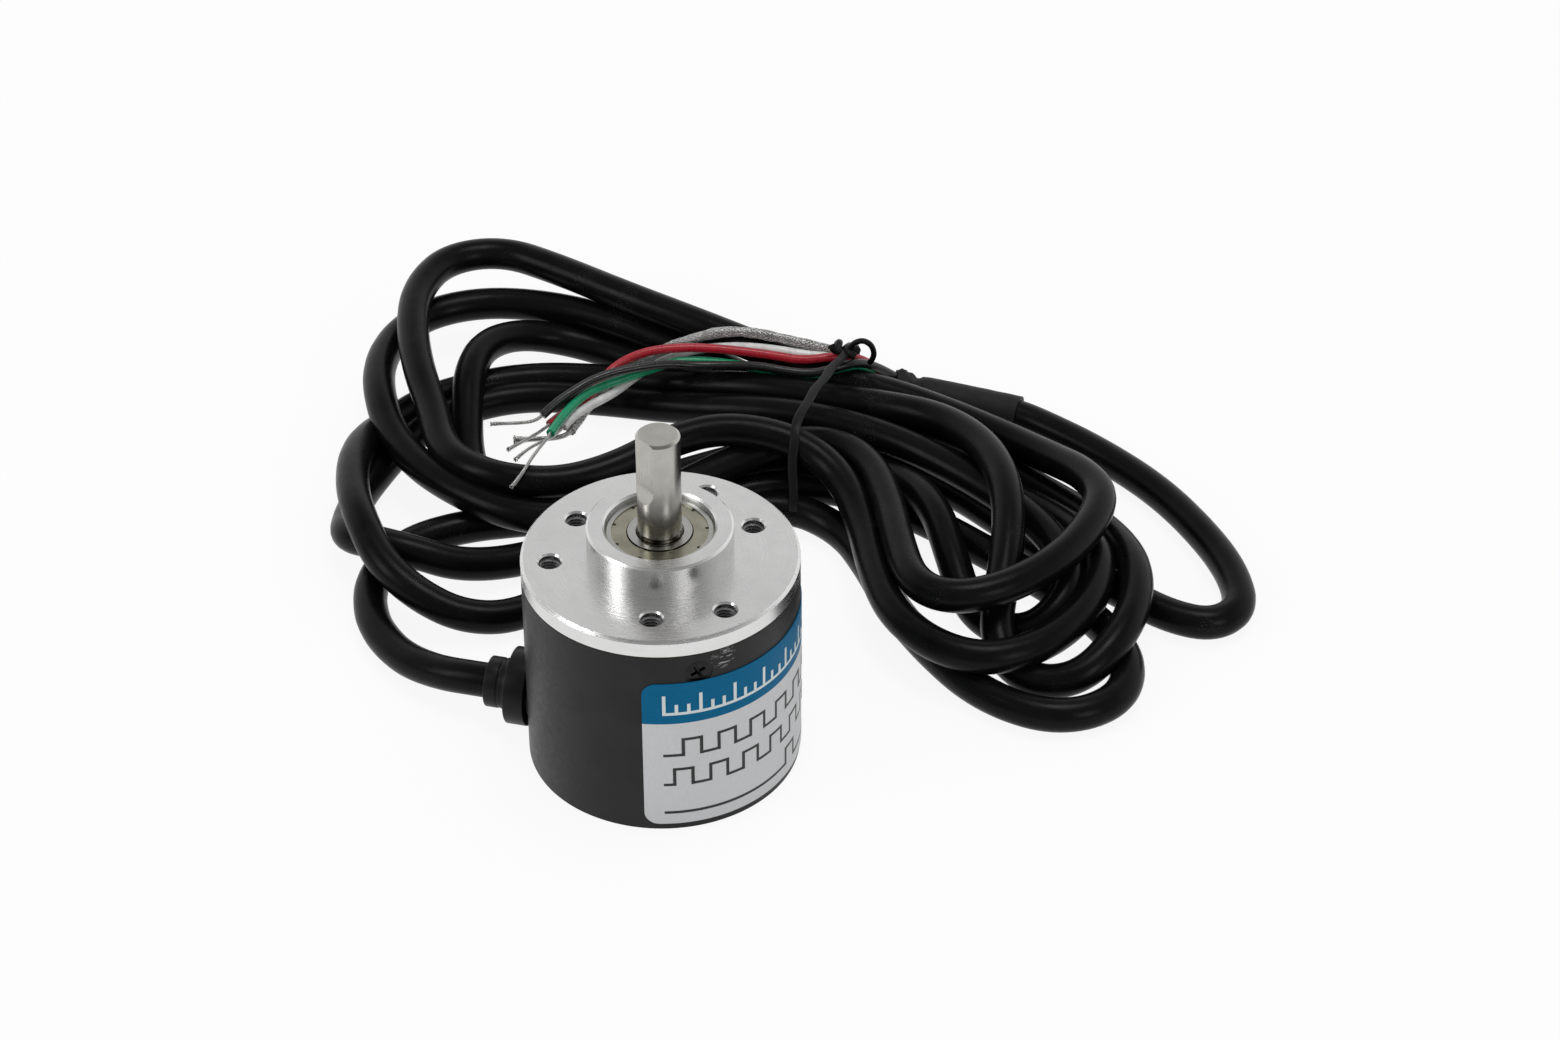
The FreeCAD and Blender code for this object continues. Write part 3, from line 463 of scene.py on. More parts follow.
def smooth_line(name, routes, thick, resolution=8, round_steps=5):
    """Curve data with one smooth spline of a round section along each route of millimetre points."""
    line = bpy.data.curves.new(name, "CURVE")
    line.dimensions = "3D"
    line.resolution_u = resolution
    line.bevel_depth = thick / 2 * MM
    line.bevel_resolution = round_steps
    line.use_fill_caps = True
    for route in routes:
        spline = line.splines.new("NURBS")
        spline.points.add(len(route) - 1)
        for point, place in zip(spline.points, metres(route)):
            point.co = (*place, 1)
        spline.order_u = 3
        spline.use_endpoint_u = True
        spline.resolution_u = resolution
    return line


def mesh_from_line(line):
    """Mesh of a curve, made through an object that is dropped again."""
    holder = bpy.data.objects.new(line.name, line)
    mesh = bpy.data.meshes.new_from_object(holder)
    bpy.data.objects.remove(holder)
    return mesh


def points_along(route, spacing):
    """Places and directions spacing millimetres apart on the smooth line through a route."""
    mesh = mesh_from_line(smooth_line("bare_line", [route], 0, resolution=24))
    knots = [vertex.co / MM for vertex in mesh.vertices]
    bpy.data.meshes.remove(mesh)
    runs = [(b - a).length for a, b in zip(knots, knots[1:])]
    count = max(2, round(sum(runs) / spacing))
    step = sum(runs) / count
    places, gone, i = [], 0.0, 0
    for k in range(count + 1):
        target = min(k * step, sum(runs) - 1e-9)
        while gone + runs[i] < target:
            gone += runs[i]
            i += 1
        places.append(knots[i].lerp(knots[i + 1], (target - gone) / runs[i]))
    ways = [(places[min(k + 1, count)] - places[max(k - 1, 0)]).normalized() for k in range(count + 1)]
    return places, ways, step


def steady_frames(ways):
    """Two directions square to each way, carried along without twisting."""
    side = ways[0].cross(Vector((0.3, 0.1, 1))).normalized()
    frames = []
    for way in ways:
        side = (side - way * side.dot(way)).normalized()
        frames.append((side, way.cross(side)))
    return frames


def wound(route, spacing, windings):
    """Routes wound about a line: each winding gives (radius, angle) in millimetres and radians at a
    distance along it and at its share of the whole length."""
    places, ways, step = points_along(route, spacing)
    frames = steady_frames(ways)
    count = len(places) - 1
    routes = []
    for winding in windings:
        wound_route = []
        for k, (place, (side, lift)) in enumerate(zip(places, frames)):
            radius, angle = winding(k * step, k / count)
            wound_route.append(place + side * radius * math.cos(angle) + lift * radius * math.sin(angle))
        routes.append(wound_route)
    return routes


# ---------------------------------------------------------------- the cable, from the gland to its sleeve
cable_lead = [
    (-13.5, 0, 5.6), (-20, 0, 5.6), (-27, 0, 5.6), (-34, 1.5, 4.3), (-41, 5.5, 2.8), (-47.5, 12.5, 2.5),
    (-50.5, 22, 2.5), (-48, 31, 2.5), (-41, 37, 2.5)]
# Turns of the hank in the order that the cable runs through them, right loop then left loop.
cable_hank = [
    (-31, 41, 2.6), (-20, 46, 2.8), (-8, 55, 3.2), (5, 62.7, 3.4), (14, 63, 3.6), (22, 59, 6),
    (28, 51.5, 7.3), (32, 43, 6), (36, 35.5, 3.2), (41, 31.5, 2.6), (46.5, 31.5, 3.5), (50, 35.5, 6),
    (50, 41, 7.2), (47, 47.5, 7.4), (40, 54.5, 7.4), (30, 61, 7.6), (18, 66.5, 8), (5, 68.5, 8.3),
    (-6, 69.5, 7), (-17, 71.5, 4), (-30, 72.5, 2.8), (-42, 71, 2.6), (-50.5, 65, 2.6), (-55.5, 57, 2.6),
    (-57.2, 48, 2.6), (-58.3, 40, 2.6), (-57.6, 32.5, 3.6), (-55.5, 26.5, 5.8), (-50, 24.5, 7.2),
    (-44, 24.5, 6.4), (-38, 25.5, 4.4), (-31, 30, 2.8), (-22, 37.5, 2.6), (-12, 46, 2.8), (-3, 53.5, 3.2),
    (5, 57.6, 3.4), (15, 58.3, 3), (27, 54, 2.7), (38, 48, 2.6), (48, 42.5, 2.6), (56, 36, 2.6),
    (61, 29, 2.8), (61.5, 21.5, 2.6), (57, 16, 2.5), (50, 14.3, 2.5), (41, 17.5, 2.5), (33, 24.5, 2.5),
    (25.5, 33, 2.5), (20, 42, 2.5), (14, 49.5, 2.6), (5, 52.5, 3.3),
    (-6, 47.5, 3), (-14.5, 37.5, 2.7), (-20.5, 27, 2.6), (-27, 18, 2.6), (-34, 15, 3.6), (-41, 15.5, 6),
    (-47.5, 18.8, 8.4), (-53, 25.8, 10.4), (-57, 34, 9.4), (-59.5, 42, 8), (-60.5, 50, 5.8),
    (-59.5, 58, 3.2), (-56, 65.5, 3), (-49.5, 71.5, 2.8), (-41, 76, 2.7), (-30, 78, 2.7), (-17, 77, 4.5),
    (-5, 74.4, 8),
    (5, 73.7, 8.3), (15, 73.3, 8.6), (24, 71, 9.8), (31.5, 65, 11.2), (36.5, 57, 12.2), (39.3, 49, 11.8),
    (40.6, 41.5, 10), (41, 34.5, 7.6), (41.5, 28.5, 5.6), (44, 23.5, 3.4), (49.5, 21, 2.6),
    (55.5, 22.5, 4), (59.5, 29, 6.8), (60.5, 37.5, 7.4), (58.5, 46.5, 7.2), (52.5, 56, 5), (43.2, 64.4, 3),
    (31.3, 71.1, 2.8), (18, 76, 3), (5, 78, 3.4),
    (-6, 81, 3.4), (-18, 84, 6), (-30, 87, 7.4), (-42, 89, 7.4), (-53, 88, 7.2), (-61, 83, 7),
    (-64, 75, 7.2), (-63.5, 66, 8), (-60.5, 57.5, 8.4), (-56, 50, 7.4), (-49.5, 43.5, 7.2),
    (-41, 38.5, 7.2), (-32, 35.5, 7), (-22, 37, 7.2), (-12, 44.5, 7.6), (-4, 55, 8),
    (4, 62, 8.2), (11, 62, 8.7), (17, 57, 9.4), (21.5, 48, 9.8), (25, 38.5, 10.2), (28.5, 30.5, 10.6),
    (33, 27, 11), (38.5, 27.5, 11.4), (44.5, 32, 11.8), (49.5, 39.5, 12), (52, 48, 12), (52, 55.5, 11.6),
    (48, 61.5, 10.4), (43, 66, 8.6), (36, 71, 7.2), (26, 75.6, 6.9), (15, 78.4, 7.5), (5, 79.3, 8.1),
    (-6, 82, 9.8), (-18, 84.5, 11.4), (-30, 88, 12), (-42, 92.5, 12.2), (-52, 95.5, 12.2),
    (-60, 91, 12.4), (-62, 82, 12.4), (-60, 72.5, 12.2), (-56, 63, 11.4), (-51, 54.5, 10.2),
    (-47, 46.5, 9.6), (-42, 41.9, 9.9), (-35, 39.9, 10), (-27, 41.5, 9.6), (-20, 46.5, 10),
    (-14, 52.5, 11.4), (-7, 56.5, 12.6),
    (1, 57.5, 12.4), (8, 56.5, 11), (14, 52.5, 9), (18.5, 44.5, 7.6), (22, 35.5, 7.4), (26.5, 26.5, 7.4),
    (33.5, 20.5, 7.2), (41.5, 19, 7), (48.5, 23.5, 7), (53, 31, 7.2), (54.5, 39.5, 7.2), (53, 48, 7),
    (46, 57.3, 4), (35, 63.8, 2.9), (19, 71.4, 3.2), (5, 72.9, 3.4),
    (-6, 76, 3), (-17, 81, 2.7), (-28, 84.5, 2.6), (-38, 86, 3.4), (-45.5, 82.5, 6), (-49.5, 76, 7.6),
    (-49.5, 68, 7.6), (-47.5, 60, 5), (-45, 52.5, 3), (-41, 46.5, 2.7), (-35, 43.8, 2.6), (-27, 46, 2.6),
    (-17, 52.5, 2.8), (-6, 61.5, 3.1),
    (5, 67.8, 3.3), (16, 68, 2.8), (28, 63, 2.7), (39, 55.5, 2.6), (49, 49, 2.6)]
cable_tail = [
    (57, 44.5, 2.6), (65, 40.5, 2.5), (71.5, 40, 2.5), (75, 45, 2.5), (72, 53.5, 2.5), (66, 62, 2.5),
    (58, 70.5, 2.5), (48, 77.5, 2.5), (39, 82, 2.6), (33.3, 83.9, 2.95), (27, 84.45, 3.0)]

cable = show("cable", smooth_line("cable", [cable_lead + cable_hank + cable_tail], CABLE_D, 8, 8),
             "jacket_black", replaced=("cord_stub", "cord_lead", "cord_hank", "cord_tail"))

# ---------------------------------------------------------------- wires out of the sleeve
wire_routes = {
    "wire_black": [(14.6, 84, 6.7), (12.4, 82.6, 9), (10, 79.9, 11.5), (7, 77.2, 11.8),
                   (3.4, 75.7, 11), (-0.8, 75.2, 11.2), (-5, 75.2, 11.5), (-9.5, 74.8, 11.1),
                   (-14.5, 73.6, 11), (-18.5, 71.5, 12.2), (-22, 69.2, 12.6), (-25.5, 66.9, 12.7),
                   (-28.6, 64.2, 12.4), (-30.8, 61.4, 11.8), (-32.8, 59.1, 11), (-34.3, 57, 9.9)],
    "wire_green": [(13.9, 82.6, 4), (12.4, 82.4, 6.2), (10.4, 81.5, 9.7), (7.4, 78.6, 11.1),
                   (4.2, 76.9, 10.2), (0.2, 76.4, 10.1), (-4.2, 76.2, 10.3), (-9, 76.2, 10.5),
                   (-14.5, 75.7, 10.6), (-18.5, 74.1, 10.7), (-21.3, 71.2, 10.8), (-24, 68, 11),
                   (-26.8, 65.8, 10.8), (-29, 63.3, 10.6), (-30.4, 60.3, 10.3), (-31.3, 56.8, 10),
                   (-31.8, 52.9, 9.9)],
    "wire_red": [(14.5, 83, 5.5), (12.4, 83.3, 7.4), (10, 82.6, 10.2), (6.4, 80, 12),
                 (1.5, 78.1, 11.5), (-3.5, 77.9, 11.9), (-9.5, 77.1, 12.4), (-15, 76.1, 12.7),
                 (-19.5, 74.7, 12.7), (-23, 73.1, 12.4), (-26.2, 70.9, 11.3), (-28, 67.7, 10.1),
                 (-28.8, 64.8, 9.2), (-30.3, 62.6, 8.8), (-31.9, 60.2, 8.5), (-33.2, 57, 8.4)],
    "wire_white": [(13.6, 84.3, 3.6), (11.4, 83.6, 5), (9.2, 82.2, 8.3), (5.8, 80.8, 11.1),
                   (1.5, 79.6, 11.6), (-3.5, 79.4, 12), (-9, 79.2, 11.8), (-14.5, 79, 10.7),
                   (-18.3, 77.8, 9.7), (-21.4, 75.2, 9.1), (-23.6, 71.5, 9), (-24.9, 67.6, 9.2),
                   (-26.5, 64.7, 9.2), (-28.5, 62.2, 9), (-30.2, 59.6, 8.7), (-31, 56.9, 8.4)],
}
braid_route = [(14.3, 84.9, 5), (12, 84.5, 6.4), (9.3, 83.4, 9), (5.8, 82, 11.4),
               (1.5, 81.2, 12.4), (-3.5, 81.1, 13.1), (-9, 80.9, 13.5), (-13.5, 79.9, 13.1),
               (-17.8, 77.9, 12), (-21.5, 75.2, 11.1), (-25, 72, 10), (-27.4, 69.2, 8.8),
               (-28.8, 66.2, 7.5), (-29.7, 62.8, 6.9), (-30.1, 60.2, 6.8), (-30.3, 58.2, 6.8)]
strand_routes = {
    "wire_black": [(-34.3, 57, 9.9), (-35, 56, 9.4), (-37.8, 54.9, 9.3), (-41.5, 53.6, 9.5)],
    "wire_green": [(-31.8, 52.9, 9.9), (-32, 51.1, 9.85), (-32, 48.5, 10.6), (-31.8, 45.4, 11.7),
                   (-31.7, 42, 12.6), (-31.9, 38.6, 12.6), (-32.7, 35.7, 12.1)],
    "wire_red": [(-33.2, 57, 8.4), (-33.9, 55.3, 8.35), (-34.9, 52, 9.1), (-36.5, 46.4, 10.7)],
    "wire_white": [(-31, 56.9, 8.4), (-31.5, 55.2, 8.2), (-32.7, 51.9, 8.9), (-33.8, 48, 10.3),
                   (-34.5, 43.6, 11.2)],
}
braid_tip_route = [(-30.3, 58.2, 6.8), (-30.4, 57.2, 6.8), (-32, 55.9, 6.8), (-34.2, 54.9, 7),
                   (-37.6, 52.9, 7.6)]


FRAY_FROM = 0.75             # share of a strand's length where its filaments start to open
STRAND_TWIST = 2.3           # radians in a millimetre
STRAND_SPACING, BRAID_SPACING, KNOT_SPACING = 0.5, 0.55, 0.35
BRAID_CARRIERS, BRAID_PITCH, BRAID_LINE_R, BRAID_LINE_D = 9, 7.5, 0.76, 0.15
BRAID_PAIR_SHIFT = 0.09      # radians that a carrier's two lines lie to each side of it


def twisted(lane, lanes, radius, twist, fray):
    """Winding of one filament in a twisted strand that opens a little at its tip."""
    start = 2 * math.pi * lane / lanes
    stray = 0.4 + 0.6 * ((lane * 7) % 5) / 4

    def winding(distance, share):
        opened = radius * (1 + fray * max(0.0, share - FRAY_FROM) / (1 - FRAY_FROM) * stray)
        return opened, start + twist * distance
    return winding


def bare_strand(name, route, lanes=6, radius=0.21, fray=0.8, replaced=()):
    """Twisted bare filaments at the end of a wire."""
    windings = [twisted(lane, lanes, radius, STRAND_TWIST, fray) for lane in range(lanes)]
    routes = wound(route, STRAND_SPACING, windings)
    return show(name, smooth_line(name, routes, FILAMENT_D, 3, 2), "tinned_copper", replaced=replaced)


for wire_name, route in wire_routes.items():
    colour = wire_name.split("_")[1]
    strand_node = "strands_" + colour
    strand = bare_strand("filaments_" + colour, strand_routes[wire_name], replaced=(strand_node,))
    wire = show("lead_wire_" + colour, smooth_line(wire_name, [route], WIRE_D, 10, 5),
                "insulation_" + colour, replaced=(wire_name,))


# ---------------------------------------------------------------- shield braid
def braided(lane, lanes, hand, radius, pitch):
    """Winding of one braid carrier, over and under those of the other hand."""
    start = 2 * math.pi * lane / lanes

    def winding(distance, share):
        angle = start + hand * 2 * math.pi * distance / pitch
        weave = 0.05 * math.sin(lanes * (angle - start) + math.pi * lane) * hand
        slack = 1 + 0.06 * math.sin(distance * 0.9) + 0.04 * math.sin(distance * 2.1)
        return (radius + weave) * slack, angle
    return winding


carriers = [braided(lane, BRAID_CARRIERS, hand, BRAID_LINE_R, BRAID_PITCH)
            for hand in (1, -1) for lane in range(BRAID_CARRIERS)]
beside_windings = []
for carrier in carriers:
    for shift in (-BRAID_PAIR_SHIFT, BRAID_PAIR_SHIFT):
        def beside(distance, share, carrier=carrier, shift=shift):
            radius, angle = carrier(distance, share)
            return radius, angle + shift
        beside_windings.append(beside)
braid_lines = wound(braid_route, BRAID_SPACING, beside_windings)
braid_cover = show("braid_carriers", smooth_line("braid_carriers", braid_lines, BRAID_LINE_D, 2, 1),
                   "tinned_copper")
braid = show("braid", smooth_line("braid", [braid_route], BRAID_D - 0.42, 8, 5), "tinned_copper",
             replaced=("shield_braid",), finish="core_wires")
braid_tip = bare_strand("braid_tip_filaments", braid_tip_route, lanes=14, radius=0.36, fray=1.0,
                        replaced=("braid_tip",))


# ---------------------------------------------------------------- heat-shrink sleeve
sleeve_route = [(34.4, 83.7, 2.93), (30.5, 84.15, 2.96), (25.5, 84.6, 3.02), (21, 85.0, 3.1),
                (18.6, 85.1, 3.35), (17.2, 84.8, 3.95), (16.0, 84.4, 4.6), (15.0, 84.0, 5.1),
                (14.3, 83.8, 5.5)]
sleeve_radii = (2.92, 2.9, 2.9, 2.9, 2.75, 2.15, 2.75, 2.5, 2.0)
FOLDS_FROM_X, FOLDS_REACH = 19.6, 2.4      # where the folds start, and how soon they are full
FOLD_DEPTH, FOLD_RATE = 0.55, 0.75
CREASE_DEPTH, CREASE_RATE = 0.22, 1.9
RIPPLE_DEPTH, RIPPLE_RATE = 0.035, 0.6
SLEEVE_FLOOR = 0.02


def crumpled_sleeve():
    """Shrunk tube, smooth over the jacket and crumpled into folds where it closes on the wires."""
    line = smooth_line("sleeve_line", [sleeve_route], 2.0, 14, 10)
    for point, radius in zip(line.splines[0].points, sleeve_radii):
        point.radius = radius
    bm = bmesh.new()
    bm.from_mesh(mesh_from_line(line))
    bmesh.ops.remove_doubles(bm, verts=bm.verts, dist=1e-7)
    bm.normal_update()
    for vertex in bm.verts:
        place = vertex.co / MM
        folded = min(1.0, max(0.0, (FOLDS_FROM_X - place.x) / FOLDS_REACH))
        push = FOLD_DEPTH * folded * noise.noise(place * FOLD_RATE + Vector((3.1, 0, 0)))
        push += CREASE_DEPTH * folded * noise.noise(place * CREASE_RATE)
        push += RIPPLE_DEPTH * noise.noise(place * RIPPLE_RATE)
        vertex.co += vertex.normal * push * MM
        vertex.co.z = max(vertex.co.z, SLEEVE_FLOOR * MM)
    return mesh_of("sleeve", bm, 60)


sleeve = show("shrink_sleeve", crumpled_sleeve(), "sleeve_black", replaced=("heat_shrink_sleeve",))

# ---------------------------------------------------------------- twist tie about the hank
# The strap's x where it crosses each y: it bows to the left over the hank.
tie_lean = [(49.4, 6.6), (54, 5.6), (58, 5.3), (64.7, 5.9), (71, 7), (77, 8.3), (83, 8.5)]
tie_outline = [(66, 0.55), (78.5, 0.5), (81.6, 1.6), (82.9, 6.5), (83.4, 10.6), (82.4, 13.0), (79.2, 14.75),
               (74, 15.0), (64, 15.35), (58.5, 15.2), (55.2, 13.9), (53, 10.5), (50.3, 6.6), (49.4, 3.4),
               (50.2, 1.0), (54, 0.5)]


def between(table, at):
    """Value at a place, from a table of (place, value) eased from each entry to the next."""
    for (low, first), (high, second) in zip(table, table[1:]):
        if at <= high:
            share = min(1.0, max(0.0, (at - low) / (high - low)))
            return first + (second - first) * share * share * (3 - 2 * share)
    return table[-1][1]


def strap_mesh(name, outline, width, thick):
    """Closed flat strap round an outline of (y, z) points, its x as tie_lean gives it."""
    line = smooth_line(name, [[(y, z, 0) for y, z in outline]], thick, 10, 3)
    line.dimensions = "2D"
    line.fill_mode = "NONE"
    line.extrude = (width - thick) / 2 * MM
    line.splines[0].use_endpoint_u = False
    line.splines[0].use_cyclic_u = True
    bm = bmesh.new()
    bm.from_mesh(mesh_from_line(line))
    for vertex in bm.verts:
        y, z, x = vertex.co
        lean = between(tie_lean, y / MM)
        wobble = 0.15 * noise.noise(Vector((y, z, 0)) / MM * 0.12)
        vertex.co = (x + (lean + wobble) * MM, y, z)
    return mesh_of(name, bm, 50)


tie = show("tie_strap", strap_mesh("tie_strap", tie_outline, 1.5, 0.55), "tie_black",
           replaced=("twist_tie",))


def twisted_pair(lane):
    """Winding of one of the tie's two ends, twisted together into its knot."""
    def winding(distance, share):
        return 0.6 + 0.1 * math.sin(6 * share), math.pi * lane + 1.55 * distance
    return winding


knot_route = [(6.0, 79.4, 14.4), (7.0, 78.6, 14.5), (8.0, 77.9, 14.7), (9.1, 77.3, 14.9), (10, 77, 15.1)]
knot_lines = wound(knot_route, KNOT_SPACING, [twisted_pair(0), twisted_pair(1)])
loop_line = [(9, 77.4, 14.6), (9, 77.1, 15.9), (9.7, 76.9, 17.1), (11, 77, 17.7), (12.2, 77.2, 17),
             (12.7, 77.4, 15.6), (12.5, 77.7, 14), (11.9, 78, 13)]
tie_knot = show("tie_knot", smooth_line("tie_knot", knot_lines, 1.2, 4, 4), "tie_black")
tie_loop = show("tie_loop", smooth_line("tie_loop", [loop_line], 0.9, 10, 4), "tie_black")


# ---------------------------------------------------------------- cable gland
gland_outline = [(2.53, -16.4), (4.35, -16.4), (4.35, -17.75), (4.0, -17.85), (4.0, -19.0), (5.5, -19.0),
                 (5.5, -22.0), (3.85, -22.0), (3.62, -22.25), (3.62, -23.1), (3.5, -23.2), (3.5, -23.5),
                 (3.62, -23.6), (3.62, -25.4), (2.53, -25.4)]
GLAND_ROUNDING = 0.16


def gland_mesh():
    """Gland with rounded rims, turned upright and then laid along the cable."""
    bm = bmesh.new()
    turn_outline(bm, gland_outline, steps=96)
    bmesh.ops.remove_doubles(bm, verts=bm.verts, dist=1e-7)
    bmesh.ops.recalc_face_normals(bm, faces=bm.faces)
    rims = [e for e in bm.edges if e.calc_face_angle(0) > math.radians(50)]
    bmesh.ops.bevel(bm, geom=rims, offset=GLAND_ROUNDING * MM, segments=3, profile=0.5, affect="EDGES",
                    material=-1)
    lay_down = Matrix.Translation((0, 0, GLAND_MOUTH[2] * MM)) @ Matrix.Rotation(math.pi / 2, 4, "Y")
    bmesh.ops.transform(bm, matrix=lay_down, verts=bm.verts)
    return mesh_of("gland", bm, 60)


gland = show("gland", gland_mesh(), "gland_black", replaced=("cable_gland",))


# ---------------------------------------------------------------- countersunk screws in the cover
SCREW_FACE_R, SCREW_Z, SCREW_HEAD_R, SCREW_SHANK_R, SCREW_LENGTH = 18.8, 27.3, 1.7, 1.0, 4.5
SCREW_RIM, SCREW_CONE, RECESS_DEPTH = 0.14, 0.72, 0.62
RECESS_MOUTH, RECESS_FLOOR = (1.1, 0.26), (0.6, 0.13)      # arm, half width
SCREW_TURNS = ((60.0, 12.0), (180.0, 48.0), (300.0, 25.0))   # place round the cover, turn of the recess


def cross_outline(arm, half, turn):
    """Corners of a cross, as (y, z) points turned by some degrees."""
    quarter = [(arm, -half), (arm, half), (half, half)]
    points = []
    for i in range(4):
        for y, z in quarter:
            angle = math.radians(90 * i + turn)
            across, up = math.cos(angle), math.sin(angle)
            points.append((y * across - z * up, y * up + z * across))
    return points


def screw_head(bm, at_angle, turn):
    """One screw: a flat head with a softened rim and a tapered cross recess, on its shank."""
    steps = 40

    def loop(x, points):
        return [bm.verts.new((x * MM, y * MM, (SCREW_Z + z) * MM)) for y, z in points]

    def circle(radius):
        return [(radius * math.cos(2 * math.pi * i / steps), radius * math.sin(2 * math.pi * i / steps))
                for i in range(steps)]

    face, head = SCREW_FACE_R, SCREW_HEAD_R
    profile = ((face, head - SCREW_RIM), (face - 0.05, head - 0.04), (face - SCREW_RIM, head),
               (face - SCREW_CONE, SCREW_SHANK_R), (face - SCREW_LENGTH, SCREW_SHANK_R))
    rim = [loop(x, circle(r)) for x, r in profile]
    rings = [ring_of_edges(bm, verts) for verts in rim]
    for first, second in zip(rings, rings[1:]):
        bmesh.ops.bridge_loops(bm, edges=first + second)
    bm.faces.new(rim[-1])
    mouth = loop(face, cross_outline(*RECESS_MOUTH, turn))
    floor = loop(face - RECESS_DEPTH, cross_outline(*RECESS_FLOOR, turn))
    mouth_edges, floor_edges = ring_of_edges(bm, mouth), ring_of_edges(bm, floor)
    bmesh.ops.triangle_fill(bm, use_beauty=True, edges=rings[0] + mouth_edges)
    bmesh.ops.bridge_loops(bm, edges=mouth_edges + floor_edges)
    bmesh.ops.triangle_fill(bm, use_beauty=True, edges=floor_edges)
    made = [vert for verts in rim + [mouth, floor] for vert in verts]
    bmesh.ops.rotate(bm, verts=made, cent=(0, 0, 0), matrix=Matrix.Rotation(math.radians(at_angle), 3, "Z"))


def cover_screws_mesh():
    """The three screws as one piece."""
    bm = bmesh.new()
    for at_angle, turn in SCREW_TURNS:
        screw_head(bm, at_angle, turn)
    return mesh_of("cover_screw_set", bm, 32)


show("cover_screw_set", cover_screws_mesh(), "plated_steel", replaced=("cover_screws",))


# ---------------------------------------------------------------- threads in the mounting holes
def hole_threads():
    """Helical ridges lining the six tapped holes."""
    bm = bmesh.new()
    steps = 22
    for circle_r, first in HOLE_CIRCLES:
        for i in range(HOLES_EACH):
            angle = math.radians(first + 360 / HOLES_EACH * i)
            centre = Vector((circle_r * math.cos(angle), circle_r * math.sin(angle), 0)) * MM
            low = (FACE_Z - THREAD_CHAMFER - THREAD_PITCH * THREAD_TURNS + THREAD_START) * MM
            root_r = THREAD_MAJOR_R + THREAD_ROOT_SINK
            ridge = ((root_r, -THREAD_ROOT_HALF), (THREAD_MINOR_R, -THREAD_CREST_HALF),
                     (THREAD_MINOR_R, THREAD_CREST_HALF), (root_r, THREAD_ROOT_HALF))
            corners = [bm.verts.new(centre + Vector((r * MM, 0, low + z * MM))) for r, z in ridge]
            bmesh.ops.spin(bm, geom=corners + ring_of_edges(bm, corners), cent=centre, axis=(0, 0, 1),
                           dvec=(0, 0, THREAD_PITCH * MM / steps), angle=2 * math.pi * (THREAD_TURNS - 1),
                           steps=steps * (THREAD_TURNS - 1))
    open_edges = [edge for edge in bm.edges if len(edge.link_faces) == 1]
    bmesh.ops.holes_fill(bm, edges=open_edges, sides=4)
    return mesh_of("hole_threads", bm, 30)


# The threads get a darker grey than the flange's alloy: painted shade, standing in for the shade down in
# the tapped holes.
finishes["thread_shade"] = machined_metal("threads_painted_shade_finish", grey(0.2), 0.4, 0.2, 0.002)
show("hole_threads", hole_threads(), "anodised_alloy", finish="thread_shade")


# ---------------------------------------------------------------- plain marks printed on the label
def ink_patch(bm, start, end, low, high):
    """Printed patch between two angles in degrees and two heights in millimetres."""
    radius = (LABEL_R + INK_PROUD) * MM
    way = Vector((math.cos(math.radians(start)), math.sin(math.radians(start)), 0)) * radius
    corners = [bm.verts.new(way + Vector((0, 0, z * MM))) for z in (low, high)]
    edge = bm.edges.new(corners)
    bmesh.ops.spin(bm, geom=corners + [edge], cent=(0, 0, 0), axis=(0, 0, 1),
                   angle=math.radians(end - start), steps=max(1, math.ceil((end - start) / 2)))


def printed(name, patches, slot, finish):
    """Piece made of thin printed patches."""
    bm = bmesh.new()
    for patch in patches:
        ink_patch(bm, *patch)
    bmesh.ops.recalc_face_normals(bm, faces=bm.faces)
    bmesh.ops.solidify(bm, geom=bm.faces, thickness=INK_THICK * MM)
    return show(name, mesh_of(name, bm, 30), slot, finish=finish)


def pulse_train(base, period, shift):
    """Square wave drawn as thin patches: levels and the risers between them."""
    thick = math.degrees(INK_LINE / LABEL_R)
    patches, angle, up = [], MARKS_FROM, False
    edge_angle = MARKS_FROM + shift
    while angle < MARKS_TO:
        stop = min(edge_angle, MARKS_TO)
        level = base + (TRACE_HEIGHT if up else 0)
        patches.append((angle, stop + (thick if stop < MARKS_TO else 0), level, level + INK_LINE))
        if stop < MARKS_TO:
            patches.append((stop, stop + thick, base, base + TRACE_HEIGHT + INK_LINE))
        angle, up, edge_angle = stop, not up, edge_angle + period / 2
    return patches


marks = pulse_train(13.2, 15.0, 7.5) + pulse_train(8.0, 15.0, 3.75)
# The lowest trace rises once and falls again: its one fall is given patch by patch.
marks += pulse_train(3.0, 400.0, 60.0)[:-1]
marks += [(345.0, 352.5, 5.7, 6.16), (352.5, 353.9, 3.0, 6.16), (353.9, MARKS_TO, 3.0, 3.46)]
ticks = [(MARKS_FROM, 416.2, 20.5, 20.95)]
for i in range(TICK_COUNT):
    at_angle = MARKS_FROM + TICK_STEP * i
    ticks.append((at_angle, at_angle + TICK_WIDTH, 20.9, 23.9 if i % 3 == 0 else 22.3))
finishes["print_dark"] = moulded_plastic("print_dark_finish", grey(0.022), 0.45, 1.3, 0.3, 0.25)
finishes["print_pale"] = moulded_plastic("print_pale_finish", (0.62, 0.68, 0.68), 0.45, 1.05, 0.3, 0.25)
printed("label_traces", marks, "label_film", "print_dark")
printed("label_scale", ticks, "label_film", "print_pale")


